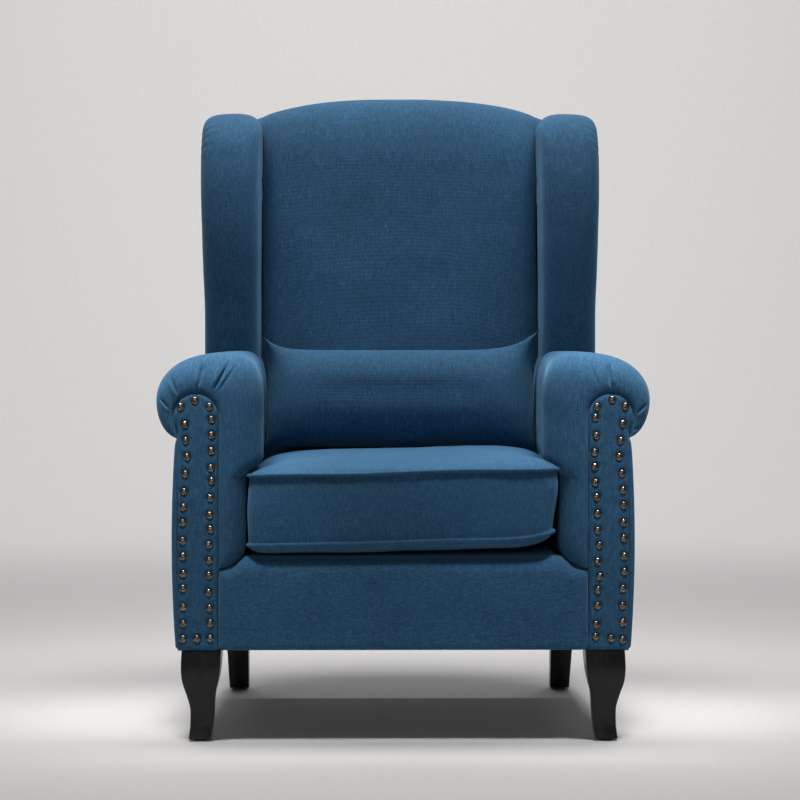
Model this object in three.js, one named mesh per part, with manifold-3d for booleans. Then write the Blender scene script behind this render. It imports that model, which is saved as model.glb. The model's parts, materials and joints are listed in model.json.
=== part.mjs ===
// Wing-back armchair with rolled arms, a loose seat cushion and a loose lumbar pillow.
// Millimetres, +Z up. The chair faces -Y and stands on z = 0, with x = 0 on its middle plane.
// "right" is the +X side. A mirrored pair is built once, for the right side.
import * as THREE from 'three';
import { mergeVertices } from 'three/addons/utils/BufferGeometryUtils.js';
import Module from 'manifold-3d';

const wasm = await Module();
wasm.setup();

// ---- Driving dimensions ----
const GAP = 0.6;                  // clearance kept between neighbouring pieces
const FAR = 900;                  // beyond the chair in any direction, for cutting solids

const FRONT_Y = -370;             // front of the arm facings and of the seat apron
const COVER = 24;                 // padding and cloth in front of the frame
const FRAME_FRONT = FRONT_Y + COVER + GAP;
const BOARD = 17.4;               // thickness of the arm's front board
const BODY_BOTTOM = 142;          // underside of the upholstered body
const TAPER_FROM = 215;           // outside this x the body narrows towards the back
const TAPER_PER_MM = 0.00026;

const SEAT_INNER = 243;           // half the width of the seat between the arms
const SEAT_REAR = 182;
const APRON_TOP = 288;
const DECK = { bottom: 275, top: 286 };

const ARM = {
  top: 604, crestX: 264, inner: 212, rearInner: 247, rear: 330, outer: 380, outerZ: 530,
  foldZ: 418, bottom: APRON_TOP + 4,
};
const NECK = { x: 348, z: 470 };  // where the roll meets the outside panel
const FACING = { inner: 285, outer: 354, archZ: 503.5 };
const NAIL = {
  radius: 5.5, height: 2.75, sides: 6, perColumn: 15,
  outerX: 339.5, innerX: 298.5, bottomZ: 160, columnTop: 507, topZ: 529,
};
const NAIL_STRIP = { half: 2.5, thick: 0.8 };

const RECLINE = THREE.MathUtils.degToRad(10);
const BACK_PIVOT = { y: 196, z: 280 };
const POST = { inner: 272, outer: 312, depth: 34, bottom: -86, top: 690 };
const CREST = { top: 788, rise: 38, half: 265, power: 2.9, pad: 43 };
const BACK_PAD = { front: -80, bottom: 14, rear: 35 };
const BACK_PANEL = { front: 36, rear: 42, half: 334, bottom: -140 };

const WING = { front: 62, outer: 338, top: 1020, bottom: 545, inset: 30 };
const WING_PANEL = { inner: 328, outer: 334.5 };

const RAIL_BOTTOM = 190;
const RAIL_TOP = 262;
const SPRING = { from: -332, to: 194, z: 264.6, arch: 5, swing: 21, waves: 11, wire: 2.1 };
const SPRING_X = [-165, -55, 55, 165];

const LEG_TOP = BODY_BOTTOM - 0.4;
const GLIDE = { radius: 11, height: 3.6 };
const FRONT_LEG = { x: 312, y: -338, front: -367, outer: 343, footX: 314.5, footY: -338.5 };
const REAR_LEG = { x: 285, y: 178, topHalf: 20.5, footHalf: 17, footX: 285, footY: 238 };
const BOLT = { radius: 4, hole: 4.5, from: 103, to: 183 };
const BLOCK = { bottom: 144.2, top: RAIL_BOTTOM - 1 };

const CUSHION = { front: -372, rear: 122, half: 241, bottom: 289.5, sideTop: 408, crown: 442 };
const PILLOW = { half: 228, tip: 13, height: 194, thick: 120, y: 95, z: 539, lean: 14 };
const CLOTH = 2;                  // thickness of a loose cushion's cover, seams included
const FILL_GAP = 0.5;
const ZIP = { half: 168, z: 350, height: 7, rest: 158 };

// ---- Materials ----
function paint(color, roughness, metalness = 0) {
  return new THREE.MeshStandardMaterial({ color, roughness, metalness });
}

const fabric = paint(0x2a5272, 0.92);
const timber = paint(0xc8a26a, 0.75);
const lacquer = paint(0x141212, 0.28);
const springSteel = paint(0x6f7376, 0.4, 0.9);
const antiqueBrass = paint(0x7a5c3a, 0.38, 0.9);
const webbingTape = paint(0x2b2723, 0.9);
const foam = paint(0xe9dfb4, 0.95);
const fibre = paint(0xf2f2ee, 0.95);
const plastic = paint(0x1b1b1c, 0.55);
const cambric = paint(0x111214, 0.95);
const zipCloth = paint(0x1f3f5a, 0.9);
const platedSteel = paint(0xb9bcc0, 0.3, 1);

// ---- Solids ----
function solid(geometry) {
  const bare = geometry.index ? geometry.toNonIndexed() : geometry.clone();
  bare.deleteAttribute('normal');
  bare.deleteAttribute('uv');
  const merged = mergeVertices(bare, 1e-3);
  return new wasm.Manifold(new wasm.Mesh({
    numProp: 3,
    vertProperties: merged.attributes.position.array,
    triVerts: new Uint32Array(merged.index.array),
  }));
}

function geometryOf(manifold) {
  const mesh = manifold.getMesh();
  const geometry = new THREE.BufferGeometry();
  geometry.setAttribute('position', new THREE.BufferAttribute(new Float32Array(mesh.vertProperties), 3));
  geometry.setIndex(new THREE.BufferAttribute(new Uint32Array(mesh.triVerts), 1));
  geometry.computeVertexNormals();
  return geometry;
}

const cut = (body, ...tools) => geometryOf(
  tools.reduce((left, tool) => left.subtract(solid(tool)), solid(body)));
const join = (...bodies) => geometryOf(bodies.map(solid).reduce((all, body) => all.add(body)));
const common = (a, b) => geometryOf(solid(a).intersect(solid(b)));

// A box from its two corners.
function box(x0, x1, y0, y1, z0, z1) {
  return new THREE.BoxGeometry(x1 - x0, y1 - y0, z1 - z0)
    .translate((x0 + x1) / 2, (y0 + y1) / 2, (z0 + z1) / 2);
}

// A shape drawn in (x, z), extruded along y.
function alongY(shape, y0, y1, curveSegments = 6) {
  return new THREE.ExtrudeGeometry(shape, { depth: y1 - y0, bevelEnabled: false, curveSegments })
    .rotateX(Math.PI / 2)
    .translate(0, y1, 0);
}

// A shape drawn in (y, z), extruded along x.
function alongX(shape, x0, x1, curveSegments = 6) {
  const axes = new THREE.Matrix4().makeBasis(
    new THREE.Vector3(0, 1, 0), new THREE.Vector3(0, 0, 1), new THREE.Vector3(1, 0, 0));
  return new THREE.ExtrudeGeometry(shape, { depth: x1 - x0, bevelEnabled: false, curveSegments })
    .applyMatrix4(axes)
    .translate(x0, 0, 0);
}

const outline = (...points) => new THREE.Shape(points.map(([a, b]) => new THREE.Vector2(a, b)));

function upright(x, y, z0, z1, radius, sides = 12) {
  return new THREE.CylinderGeometry(radius, radius, z1 - z0, sides)
    .rotateX(Math.PI / 2)
    .translate(x, y, (z0 + z1) / 2);
}

// Outside TAPER_FROM, x shrinks in proportion to the distance behind the front.
function taper(geometry) {
  const p = geometry.attributes.position;
  for (let i = 0; i < p.count; i++) {
    const x = p.getX(i);
    const beyond = Math.max(0, Math.abs(x) - TAPER_FROM);
    p.setX(i, x - Math.sign(x) * beyond * TAPER_PER_MM * (p.getY(i) - FRONT_Y));
  }
  return geometry;
}

// ---- Assembly helpers ----
const chair = new THREE.Group();

// The reclined back's own frame: x across, y through the back from the posts' front, z up along it.
const back = new THREE.Group();
back.position.set(0, BACK_PIVOT.y, BACK_PIVOT.z);
back.rotation.x = -RECLINE;
back.updateMatrix();
chair.add(back);

function add(name, geometry, material, parent = chair) {
  const mesh = new THREE.Mesh(geometry, material);
  mesh.name = name;
  parent.add(mesh);
  return mesh;
}

function addPair(name, geometry, material, parent = chair) {
  add(`right_${name}`, geometry, material, parent);
  add(`left_${name}`, geometry, material, parent).scale.x = -1;
}

// Everything behind y in the back's frame, within half a width and below a height, in the chair's frame.
const POST_CLEARANCE = 2.8;
const behind = (y, half = FAR, top = FAR) => box(-half, half, y, FAR, -FAR, top).applyMatrix4(back.matrix);
const behindPosts = behind(-POST_CLEARANCE);
const behindPanel = behind(BACK_PANEL.front - 1);

// ---- Seat frame ----
function addSeatFrame() {
  const half = FACING.inner - 2;
  const between = POST.inner - GAP;
  const rail = 24.4;
  const frontRail = box(-half, half, FRAME_FRONT, FRAME_FRONT + rail, RAIL_BOTTOM - 25, RAIL_TOP);
  const rearRail = box(-between, between, SEAT_REAR, SEAT_REAR + rail, RAIL_BOTTOM, RAIL_TOP);
  const sideRail = taper(box(300, 325, FRAME_FRONT + BOARD + GAP, 240, RAIL_BOTTOM, DECK.bottom));
  add('front_seat_rail', frontRail, timber);
  add('rear_seat_rail', rearRail, timber);
  addPair('side_rail', cut(sideRail, behindPosts), timber);
}

// Sinuous springs run from the front rail to the rear rail, arched a little upwards.
class SpringLine extends THREE.Curve {
  getPoint(t, target = new THREE.Vector3()) {
    const x = SPRING.swing * Math.sin(2 * Math.PI * SPRING.waves * t);
    const y = THREE.MathUtils.lerp(SPRING.from, SPRING.to, t);
    return target.set(x, y, SPRING.z + SPRING.arch * Math.sin(Math.PI * t));
  }
}

function addSprings() {
  const section = new THREE.Shape().absarc(0, 0, SPRING.wire, 0, 2 * Math.PI, false);
  const geometry = new THREE.ExtrudeGeometry(section, {
    steps: SPRING.waves * 4, extrudePath: new SpringLine(), curveSegments: 3, bevelEnabled: false,
  });
  SPRING_X.forEach((x, i) => {
    add(`seat_spring_${i + 1}`, geometry, springSteel).position.x = x;
  });
}

// ---- Legs ----
const boltHole = (leg, z0, z1) => upright(leg.x, leg.y, z0, z1, BOLT.hole);

// The front leg's profile, from the square block at its top through the knee and the ankle to the foot.
const CABRIOLE_OUTER = [[343, 116], [341, 91], [334, 71], [329, 48], [330, 22], [332, 4]];
const CABRIOLE_INNER = [[298, 4], [295, 22], [293, 45], [292, 72], [287, 95], [283, 120]];

function cabriole(place) {
  const point = ([x, z]) => new THREE.Vector2(place(x), z);
  const shape = new THREE.Shape();
  shape.moveTo(place(281), LEG_TOP);
  shape.lineTo(place(342), LEG_TOP);
  shape.splineThru(CABRIOLE_OUTER.map(point));
  shape.lineTo(place(CABRIOLE_INNER[0][0]), CABRIOLE_INNER[0][1]);
  shape.splineThru(CABRIOLE_INNER.slice(1).map(point));
  return shape;
}

// A cabriole leg is sawn twice with one profile, once from the front and once from the side.
function frontLeg() {
  const fromFront = alongY(cabriole((x) => x), -380, -290, 2);
  const fromSide = alongX(cabriole((x) => FRONT_LEG.front + FRONT_LEG.outer - x), 260, 360, 2);
  return cut(common(fromFront, fromSide), boltHole(FRONT_LEG, BOLT.from - 3, LEG_TOP + 1));
}

// The rear leg rakes back and tapers.
function rearLeg() {
  const foot = GLIDE.height + 0.4;
  const side = new THREE.Shape();
  side.moveTo(146, LEG_TOP);
  side.quadraticCurveTo(176, 80, 222, foot);
  side.lineTo(254, foot);
  side.quadraticCurveTo(218, 86, 198, LEG_TOP);
  const front = outline(
    [REAR_LEG.x - REAR_LEG.footHalf, foot], [REAR_LEG.x + REAR_LEG.footHalf, foot],
    [REAR_LEG.x + REAR_LEG.topHalf, LEG_TOP], [REAR_LEG.x - REAR_LEG.topHalf, LEG_TOP]);
  const raked = common(alongX(side, 250, 320, 5), alongY(front, 130, 270));
  return cut(raked, boltHole(REAR_LEG, BOLT.from - 3, LEG_TOP + 1));
}

// A leg comes with its glide, its corner block in the frame and the bolt that joins the two.
function addLeg(name, leg, geometry, block) {
  addPair(`${name}_leg`, geometry, lacquer);
  addPair(`${name}_glide`, upright(leg.footX, leg.footY, 0, GLIDE.height, GLIDE.radius, 16), plastic);
  addPair(`${name}_leg_block`, cut(block, boltHole(leg, BLOCK.bottom - 5, BOLT.to + 3)), timber);
  addPair(`${name}_leg_bolt`, upright(leg.x, leg.y, BOLT.from, BOLT.to, BOLT.radius), platedSteel);
}

function addDustCover() {
  const cloth = taper(box(-348, 348, FRAME_FRONT, 200, BODY_BOTTOM + 0.5, BODY_BOTTOM + 1.7));
  const holes = [FRONT_LEG, REAR_LEG].flatMap((leg) => [1, -1].map(
    (side) => upright(side * leg.x, leg.y, BODY_BOTTOM - 2, BODY_BOTTOM + 4, BOLT.hole + 1)));
  add('dust_cover', cut(cloth, ...holes), cambric);
}

// ---- Arms ----
// The facing's outline: straight sides, a slight waist at the neck and a round head.
function facingOutline(inset = 0) {
  const outer = FACING.outer - inset;
  const inner = FACING.inner + inset;
  const shape = new THREE.Shape();
  shape.moveTo(inner, BODY_BOTTOM + inset);
  shape.lineTo(outer, BODY_BOTTOM + inset);
  shape.lineTo(outer, NECK.z - 40);
  shape.quadraticCurveTo(outer - 1, NECK.z - 18, NECK.x - inset, NECK.z);
  shape.quadraticCurveTo(outer - 1, NECK.z + 16, outer, FACING.archZ);
  shape.absarc((outer + inner) / 2, FACING.archZ, (outer - inner) / 2, 0, Math.PI, false);
  return shape;
}

// The roll's outer surface, from the neck outside, over the top, to its inner face, offset by `grow`.
function rollCurve(grow = 0) {
  const outer = ARM.outer + grow;
  const top = ARM.top + grow;
  const inner = ARM.inner - grow;
  const shape = new THREE.Shape();
  shape.moveTo(NECK.x + 5, NECK.z + 3 - grow);
  shape.bezierCurveTo(372 + grow, 480, outer, 505, outer, ARM.outerZ);
  shape.bezierCurveTo(outer, 572 + grow, 325, top, ARM.crestX, top);
  shape.bezierCurveTo(232, top, inner, 585, inner, 545);
  return shape;
}

// The arm pad wraps over the roll, from the neck outside to the seat deck inside.
function armPadOutline() {
  const room = (FACING.outer - FACING.inner) / 2 + 0.9;
  const middle = (FACING.inner + FACING.outer) / 2;
  const shape = rollCurve();
  shape.lineTo(ARM.inner, 458);
  shape.quadraticCurveTo(ARM.inner + 2, 436, SEAT_INNER, ARM.foldZ);
  shape.lineTo(SEAT_INNER, ARM.bottom);
  shape.lineTo(middle - room, ARM.bottom);
  shape.lineTo(middle - room, FACING.archZ);
  shape.absarc(middle, FACING.archZ, room, Math.PI, 0, true);
  shape.quadraticCurveTo(354.4, NECK.z + 18, NECK.x + 2.2, NECK.z + 4);
  return shape;
}

// Towards the back the arm's inner face leans away from the seat, above the seat cushion.
function flareInnerFace(geometry) {
  const { clamp } = THREE.MathUtils;
  const p = geometry.attributes.position;
  for (let i = 0; i < p.count; i++) {
    const behindFront = (p.getY(i) - FRONT_Y) / (ARM.rear - FRONT_Y);
    const inward = clamp((ARM.crestX - p.getX(i)) / (ARM.crestX - ARM.inner), 0, 1);
    const aboveCushion = clamp((p.getZ(i) - ARM.foldZ) / 40, 0, 1);
    p.setX(i, p.getX(i) + (ARM.rearInner - ARM.inner) * behindFront * inward * aboveCushion);
  }
  return geometry;
}

function addArms() {
  const pad = taper(flareInnerFace(alongY(armPadOutline(), FRONT_Y, ARM.rear, 7)));
  const besidePosts = behind(-POST_CLEARANCE, POST.outer + 0.8);
  const besideBackPad = behind(BACK_PAD.front + 0.5, SEAT_INNER + GAP);
  addPair('arm_pad', cut(pad, besidePosts, behindPanel, besideBackPad), fabric);
  addPair('arm_facing', taper(alongY(facingOutline(), FRONT_Y, FRONT_Y + COVER)), fabric);

  const boardEnd = FRAME_FRONT + BOARD;
  const belowRails = box(0, FAR, -FAR, FAR, 0, RAIL_BOTTOM);
  const topRail = taper(box(300, 340, boardEnd + GAP, 260, 485, 515));
  addPair('arm_front_board', cut(alongY(facingOutline(6), FRAME_FRONT, boardEnd, 5), belowRails), timber);
  addPair('arm_top_rail', cut(topRail, behindPosts), timber);

  const panel = taper(box(350.5, 356, FRAME_FRONT, 300, BODY_BOTTOM, NECK.z - 1));
  addPair('outside_arm_panel', cut(panel, behindPanel), fabric);
}

// Nails stand in two columns, closed by an arc at the top and a row at the bottom.
function nailPlaces() {
  const middle = (NAIL.outerX + NAIL.innerX) / 2;
  const step = (NAIL.columnTop - NAIL.bottomZ) / (NAIL.perColumn - 1);
  const column = (x) => Array.from({ length: NAIL.perColumn }, (_, i) => [x, NAIL.bottomZ + step * i]);
  return [
    ...column(NAIL.outerX), ...column(NAIL.innerX),
    [middle, NAIL.topZ], [middle, NAIL.bottomZ],
    [NAIL.outerX - 4, NAIL.topZ - 7], [NAIL.innerX + 4, NAIL.topZ - 7],
  ];
}

function nailLoop(offset) {
  const middle = (NAIL.outerX + NAIL.innerX) / 2;
  const radius = (NAIL.outerX - NAIL.innerX) / 2;
  const shape = new THREE.Shape();
  shape.moveTo(NAIL.innerX - offset, NAIL.bottomZ - offset);
  shape.lineTo(NAIL.outerX + offset, NAIL.bottomZ - offset);
  shape.lineTo(NAIL.outerX + offset, NAIL.topZ - radius);
  shape.absarc(middle, NAIL.topZ - radius, radius + offset, 0, Math.PI, false);
  return shape;
}

function addNails() {
  const rear = FRONT_Y - 0.4;
  const front = rear - NAIL_STRIP.thick;
  const inside = alongY(nailLoop(-NAIL_STRIP.half), front - 5, rear + 5);
  const strip = cut(alongY(nailLoop(NAIL_STRIP.half), front, rear), inside);
  const dome = [[0, 0], [NAIL.radius, 0], [NAIL.radius * 0.6, NAIL.height], [0, NAIL.height]];
  const head = new THREE.LatheGeometry(dome.map(([r, h]) => new THREE.Vector2(r, h)), NAIL.sides)
    .rotateX(Math.PI)
    .translate(0, rear, 0);
  const heads = nailPlaces().map(([x, z]) => head.clone().translate(x, 0, z));
  addPair('nail_trim', join(strip, ...heads), antiqueBrass);
}

// ---- Back ----
const crestDrop = (x) => CREST.rise * Math.abs(x / CREST.half) ** CREST.power;

// An outline whose top follows the crest's arch, lowered by `below`.
function archedOutline(half, bottom, below, steps = 16) {
  const top = Array.from({ length: steps + 1 }, (_, i) => {
    const x = half - (2 * half * i) / steps;
    return [x, CREST.top - below - crestDrop(x)];
  });
  return outline([-half, bottom], [half, bottom], ...top);
}

function addBackFrame() {
  const between = POST.inner - GAP;
  const [front, rear] = [2, 26];
  addPair('back_post', box(POST.inner, POST.outer, 0, POST.depth, POST.bottom, POST.top), timber, back);
  add('back_crest_rail', alongY(archedOutline(between, 650, CREST.pad), front, rear), timber, back);
  add('back_lower_rail', box(-between, between, front, rear, 60, 110), timber, back);
}

// Three straps up the back and three across it, fixed to the fronts of the rails and posts.
function addWebbing() {
  const half = 25;
  const strap = (x0, x1, z0, z1) => box(x0, x1, -GAP - 1.6, -GAP, z0, z1);
  const upStraps = [-150, 0, 150].map((x) => strap(x - half, x + half, 62, POST.top));
  const crossStraps = [190, 340, 490].map((z) => strap(-300, 300, z - half, z + half));
  add('back_webbing', join(...upStraps, ...crossStraps), webbingTape, back);
}

// The inside back pad rolls back over the crest rail.
function addBackPad() {
  const { front, bottom, rear } = BACK_PAD;
  const hollow = 640;
  const side = new THREE.Shape();
  side.moveTo(-POST_CLEARANCE, bottom);
  side.lineTo(front + 14, bottom);
  side.bezierCurveTo(front - 4, 180, front, 420, front + 8, 600);
  side.bezierCurveTo(front + 12, 690, front + 28, CREST.top - 16, -8, CREST.top);
  side.lineTo(rear - 7, CREST.top);
  side.quadraticCurveTo(rear, CREST.top, rear, CREST.top - 10);
  side.lineTo(rear, hollow);
  side.lineTo(-POST_CLEARANCE, hollow);
  const arched = alongY(archedOutline(SEAT_INNER + 5, -50, 0), -120, 60);
  const overRail = alongY(archedOutline(SEAT_INNER + 5, -50, CREST.pad - GAP), -POST_CLEARANCE, 60);
  const pad = cut(common(alongX(side, -SEAT_INNER, SEAT_INNER, 7), arched), overRail);
  add('inside_back_pad', pad, fabric, back);
}

function addBackPanel() {
  const shape = archedOutline(BACK_PANEL.half, BACK_PANEL.bottom, 6);
  add('outside_back_panel', alongY(shape, BACK_PANEL.front, BACK_PANEL.rear), fabric, back);
}

// ---- Wings ----
// Side profile in (y, z). The front edge swells forward and rounds over at the top.
function wingProfile(inset) {
  const front = WING.front + inset;
  const top = WING.top - inset;
  const shape = new THREE.Shape();
  shape.moveTo(front, WING.bottom);
  shape.bezierCurveTo(front - 8, 740, front, 850, front + 34, top - 80);
  shape.bezierCurveTo(front + 50, top - 35, front + 78, top, 190, top);
  shape.lineTo(420, top);
  shape.lineTo(420, WING.bottom);
  return shape;
}

function wingFront() {
  const inner = SEAT_INNER + GAP;
  const shape = new THREE.Shape();
  shape.moveTo(inner, WING.bottom - 5);
  shape.lineTo(WING.outer, WING.bottom - 5);
  shape.lineTo(WING.outer, WING.top - 52);
  shape.bezierCurveTo(WING.outer, WING.top - 16, WING.outer - 16, WING.top, WING.outer - 44, WING.top);
  shape.quadraticCurveTo(264, WING.top, inner, WING.top - 9);
  return shape;
}

// The wing stands on the arm's roll, so its lower end is cut to the roll's curve.
function rollRoom() {
  const clearance = 1.6;
  const shape = rollCurve(clearance);
  shape.lineTo(ARM.inner - clearance, WING.bottom - 60);
  shape.lineTo(NECK.x + 5, WING.bottom - 60);
  return taper(alongY(shape, 0, 420, 7));
}

// The wing pad wraps round the front edge of a board, which is screwed to the back post.
function addWings() {
  const roll = rollRoom();
  const slice = (inset, x0, x1) => alongX(wingProfile(inset), x0, x1);
  const postTop = POST.top + 32;
  const overPosts = behind(-POST_CLEARANCE, FAR, postTop);
  const aboveBoard = box(0, FAR, -FAR, FAR, postTop + 4, FAR).applyMatrix4(back.matrix);
  const pad = common(slice(0, SEAT_INNER + GAP, WING.outer), alongY(wingFront(), 0, 500));
  const boardRoom = slice(WING.inset, POST.outer + GAP, FAR);
  const board = (x0, x1) => cut(slice(WING.inset + GAP, x0, x1), behind(POST.depth), aboveBoard, roll);
  addPair('wing_pad', cut(pad, boardRoom, overPosts, behindPanel, roll), fabric);
  addPair('wing_frame', board(POST.outer + 2 * GAP, WING_PANEL.inner - GAP), timber);
  addPair('outside_wing_panel', board(WING_PANEL.inner, WING_PANEL.outer), fabric);
}

// ---- Seat ----
function addSeat() {
  const half = FACING.inner - GAP;
  const lap = FRONT_Y + COVER + 26;
  const side = new THREE.Shape();
  side.moveTo(FRONT_Y, BODY_BOTTOM);
  side.lineTo(FRONT_Y + COVER, BODY_BOTTOM);
  side.lineTo(FRONT_Y + COVER, DECK.bottom);
  side.lineTo(lap, DECK.bottom);
  side.lineTo(lap, DECK.top);
  side.lineTo(FRONT_Y + 20, APRON_TOP);
  side.quadraticCurveTo(FRONT_Y, APRON_TOP, FRONT_Y, APRON_TOP - 20);
  const deckHalf = SEAT_INNER - 1;
  const deck = taper(box(-deckHalf, deckHalf, lap + 1, SEAT_REAR, DECK.bottom, DECK.top));
  add('front_apron', alongX(side, -half, half, 5), fabric);
  add('seat_deck', deck, fabric);
}

// ---- Loose seat cushion ----
// Its cross-section: straight sides, rounded lower edges and a crowned top.
function cushionSection(inset) {
  const edge = CUSHION.half - inset;
  const bottom = CUSHION.bottom + inset;
  const crown = CUSHION.crown - inset;
  const round = 12;
  const shape = new THREE.Shape();
  shape.moveTo(round - edge, bottom);
  shape.lineTo(edge - round, bottom);
  shape.quadraticCurveTo(edge, bottom, edge, bottom + round);
  shape.lineTo(edge, CUSHION.sideTop - inset);
  shape.bezierCurveTo(edge - 60, crown, 80, crown, 0, crown);
  shape.bezierCurveTo(-80, crown, 60 - edge, crown, -edge, CUSHION.sideTop - inset);
  shape.lineTo(-edge, bottom + round);
  shape.quadraticCurveTo(-edge, bottom, round - edge, bottom);
  return shape;
}

const cushionBody = (inset) => taper(
  alongY(cushionSection(inset), CUSHION.front + inset, CUSHION.rear - inset));

// A box along the zip: the tape itself, or with `extra` the slot for it in the cover.
const zipBox = (extra, y0, y1) => box(
  -ZIP.half - extra, ZIP.half + extra, y0, y1, ZIP.z - extra, ZIP.z + ZIP.height + extra);

function addSeatCushion() {
  const { rear } = CUSHION;
  const slot = zipBox(FILL_GAP, rear - 12, rear + 8);
  add('seat_cushion_cover', cut(cushionBody(0), cushionBody(CLOTH), slot), fabric);
  add('seat_cushion_core', cushionBody(CLOTH + FILL_GAP), foam);
  add('seat_cushion_zip', zipBox(0, rear - 1.8, rear - 0.2), zipCloth);
  const body = box(ZIP.rest - 5, ZIP.rest + 5, rear + 0.4, rear + 3, ZIP.z - 1, ZIP.z + ZIP.height + 1);
  const tab = box(ZIP.rest - 2.5, ZIP.rest + 2.5, rear + 1.2, rear + 2.6, ZIP.z - 24, ZIP.z);
  add('zip_slider', join(body, tab), platedSteel);
}

// ---- Loose lumbar pillow ----
// A sphere pushed out into a pillow: a square outline with pulled-out upper corners, and thin edges.
function pillowBody(inset) {
  const squareness = 0.8;
  const fullness = 0.65;
  const geometry = new THREE.SphereGeometry(1, 28, 14).rotateX(Math.PI / 2);
  const p = geometry.attributes.position;
  for (let i = 0; i < p.count; i++) {
    const [a, b, c] = [p.getX(i), p.getY(i), p.getZ(i)];
    const round = Math.hypot(a, b) || 1;
    const square = (round / Math.max(Math.abs(a), Math.abs(b), 1e-9)) ** squareness;
    const u = a * square;
    const v = b * square;
    const corner = Math.max(0, v) ** 4 * Math.abs(u) ** 3;
    const puff = Math.sign(c) * Math.abs(c) ** fullness * (PILLOW.thick / 2 - inset);
    p.setXYZ(i, u * (PILLOW.half - inset + PILLOW.tip * corner), -puff, v * (PILLOW.height / 2 - inset));
  }
  return geometry
    .rotateX(-THREE.MathUtils.degToRad(PILLOW.lean))
    .translate(0, PILLOW.y, PILLOW.z);
}

// The cover has a hand-sewn closing in its bottom seam, which is left open here.
function addPillow() {
  const bottom = PILLOW.z - PILLOW.height / 2;
  const closing = box(-60, 60, PILLOW.y - 60, PILLOW.y + 30, bottom - 30, bottom + 12);
  add('lumbar_pillow_cover', cut(pillowBody(0), pillowBody(CLOTH), closing), fabric);
  add('lumbar_pillow_fill', pillowBody(CLOTH + FILL_GAP), fibre);
}

addSeatFrame();
addSprings();
addLeg('front', FRONT_LEG, frontLeg(), box(287, 345, FRAME_FRONT, -262, BLOCK.bottom, BLOCK.top));
addLeg('rear', REAR_LEG, rearLeg(), box(262, 322, 118, 203, BLOCK.bottom, BLOCK.top));
addDustCover();
addArms();
addNails();
addBackFrame();
addWebbing();
addBackPad();
addBackPanel();
addWings();
addSeat();
addSeatCushion();
addPillow();

export default chair;
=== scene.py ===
"""The looks of the wing-back armchair: upholstery, trim, legs, floor, light and camera.

Lengths are in millimetres until a mesh is made. x is across the chair, -y is its front, z is up.
"""
import json
import math

import bmesh
import bpy
import numpy as np
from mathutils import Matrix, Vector, noise


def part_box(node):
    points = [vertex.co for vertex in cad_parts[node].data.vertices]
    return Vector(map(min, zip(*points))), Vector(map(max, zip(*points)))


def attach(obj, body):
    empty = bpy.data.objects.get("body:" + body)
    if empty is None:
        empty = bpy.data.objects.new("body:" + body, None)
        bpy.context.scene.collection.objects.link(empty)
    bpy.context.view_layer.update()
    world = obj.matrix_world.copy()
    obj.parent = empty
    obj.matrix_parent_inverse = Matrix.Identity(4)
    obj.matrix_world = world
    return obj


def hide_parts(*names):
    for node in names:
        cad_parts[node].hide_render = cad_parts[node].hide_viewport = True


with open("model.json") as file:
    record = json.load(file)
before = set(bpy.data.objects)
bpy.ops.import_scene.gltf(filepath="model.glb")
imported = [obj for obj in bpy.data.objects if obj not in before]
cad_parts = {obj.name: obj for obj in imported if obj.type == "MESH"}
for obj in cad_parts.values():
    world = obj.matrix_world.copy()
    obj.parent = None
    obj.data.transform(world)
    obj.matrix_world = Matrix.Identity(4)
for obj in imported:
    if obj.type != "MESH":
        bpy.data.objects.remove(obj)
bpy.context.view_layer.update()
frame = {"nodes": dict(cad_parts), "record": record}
MM = 0.001
SIDES = {"right": 1, "left": -1}


def node_box(node):
    """A CAD node's lowest and highest corners in millimetres."""
    return [np.array(corner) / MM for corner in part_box(node)]


# ---------------------------------------------------------------- driving sizes, from the frame
ARM_LOW, ARM_HIGH = node_box("right_arm_pad")
FACING_LOW, FACING_HIGH = node_box("right_arm_facing")
WING_LOW, WING_HIGH = node_box("right_wing_pad")
BACK_HIGH = node_box("inside_back_pad")[1]
PANEL_HIGH = node_box("outside_back_panel")[1]
APRON_HIGH = node_box("front_apron")[1]
DECK_LOW, DECK_HIGH = node_box("seat_deck")
SEAT_LOW, SEAT_HIGH = node_box("seat_cushion_cover")
PILLOW_LOW, PILLOW_HIGH = node_box("lumbar_pillow_cover")
FRONT_LEG_LOW, FRONT_LEG_HIGH = node_box("right_front_leg")
REAR_LEG_LOW, REAR_LEG_HIGH = node_box("right_rear_leg")
SIDE_HIGH = node_box("right_outside_arm_panel")[1]
ZIP_LOW, ZIP_HIGH = node_box("seat_cushion_zip")
SLIDER_LOW, SLIDER_HIGH = node_box("zip_slider")

FRONT = FACING_LOW[1]
BODY_BOTTOM = FACING_LOW[2]
SEAT_HALF = BACK_HIGH[0]
ARM_INNER, ARM_OUTER, ARM_TOP = ARM_LOW[0], ARM_HIGH[0], ARM_HIGH[2]
FACING_INNER = 285.0
FACING_OUTER = FACING_HIGH[0]
ARCH_RADIUS = (FACING_OUTER - FACING_INNER) / 2
ARCH_X = (FACING_OUTER + FACING_INNER) / 2
ARCH_Z = FACING_HIGH[2] - ARCH_RADIUS
NECK_Z = 470.0

RECLINE = math.radians(10)
PIVOT_Y, PIVOT_Z = 196.0, 280.0
BACK_OFFSET = -80.0          # front of the back pad, from the fronts of the back posts
PANEL_OFFSET = 42.0          # rear of the outside back panel, from the same plane
SIDE_SETBACK = 8.0           # the arms and side panels end this far in front of the panel's rear
TAPER_FROM, TAPER_PER_MM = 215.0, 0.00026


# ---------------------------------------------------------------- small tools
def smoothstep(low, high, value):
    t = np.clip((np.asarray(value, float) - low) / (high - low), 0, 1)
    return t * t * (3 - 2 * t)


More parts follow.
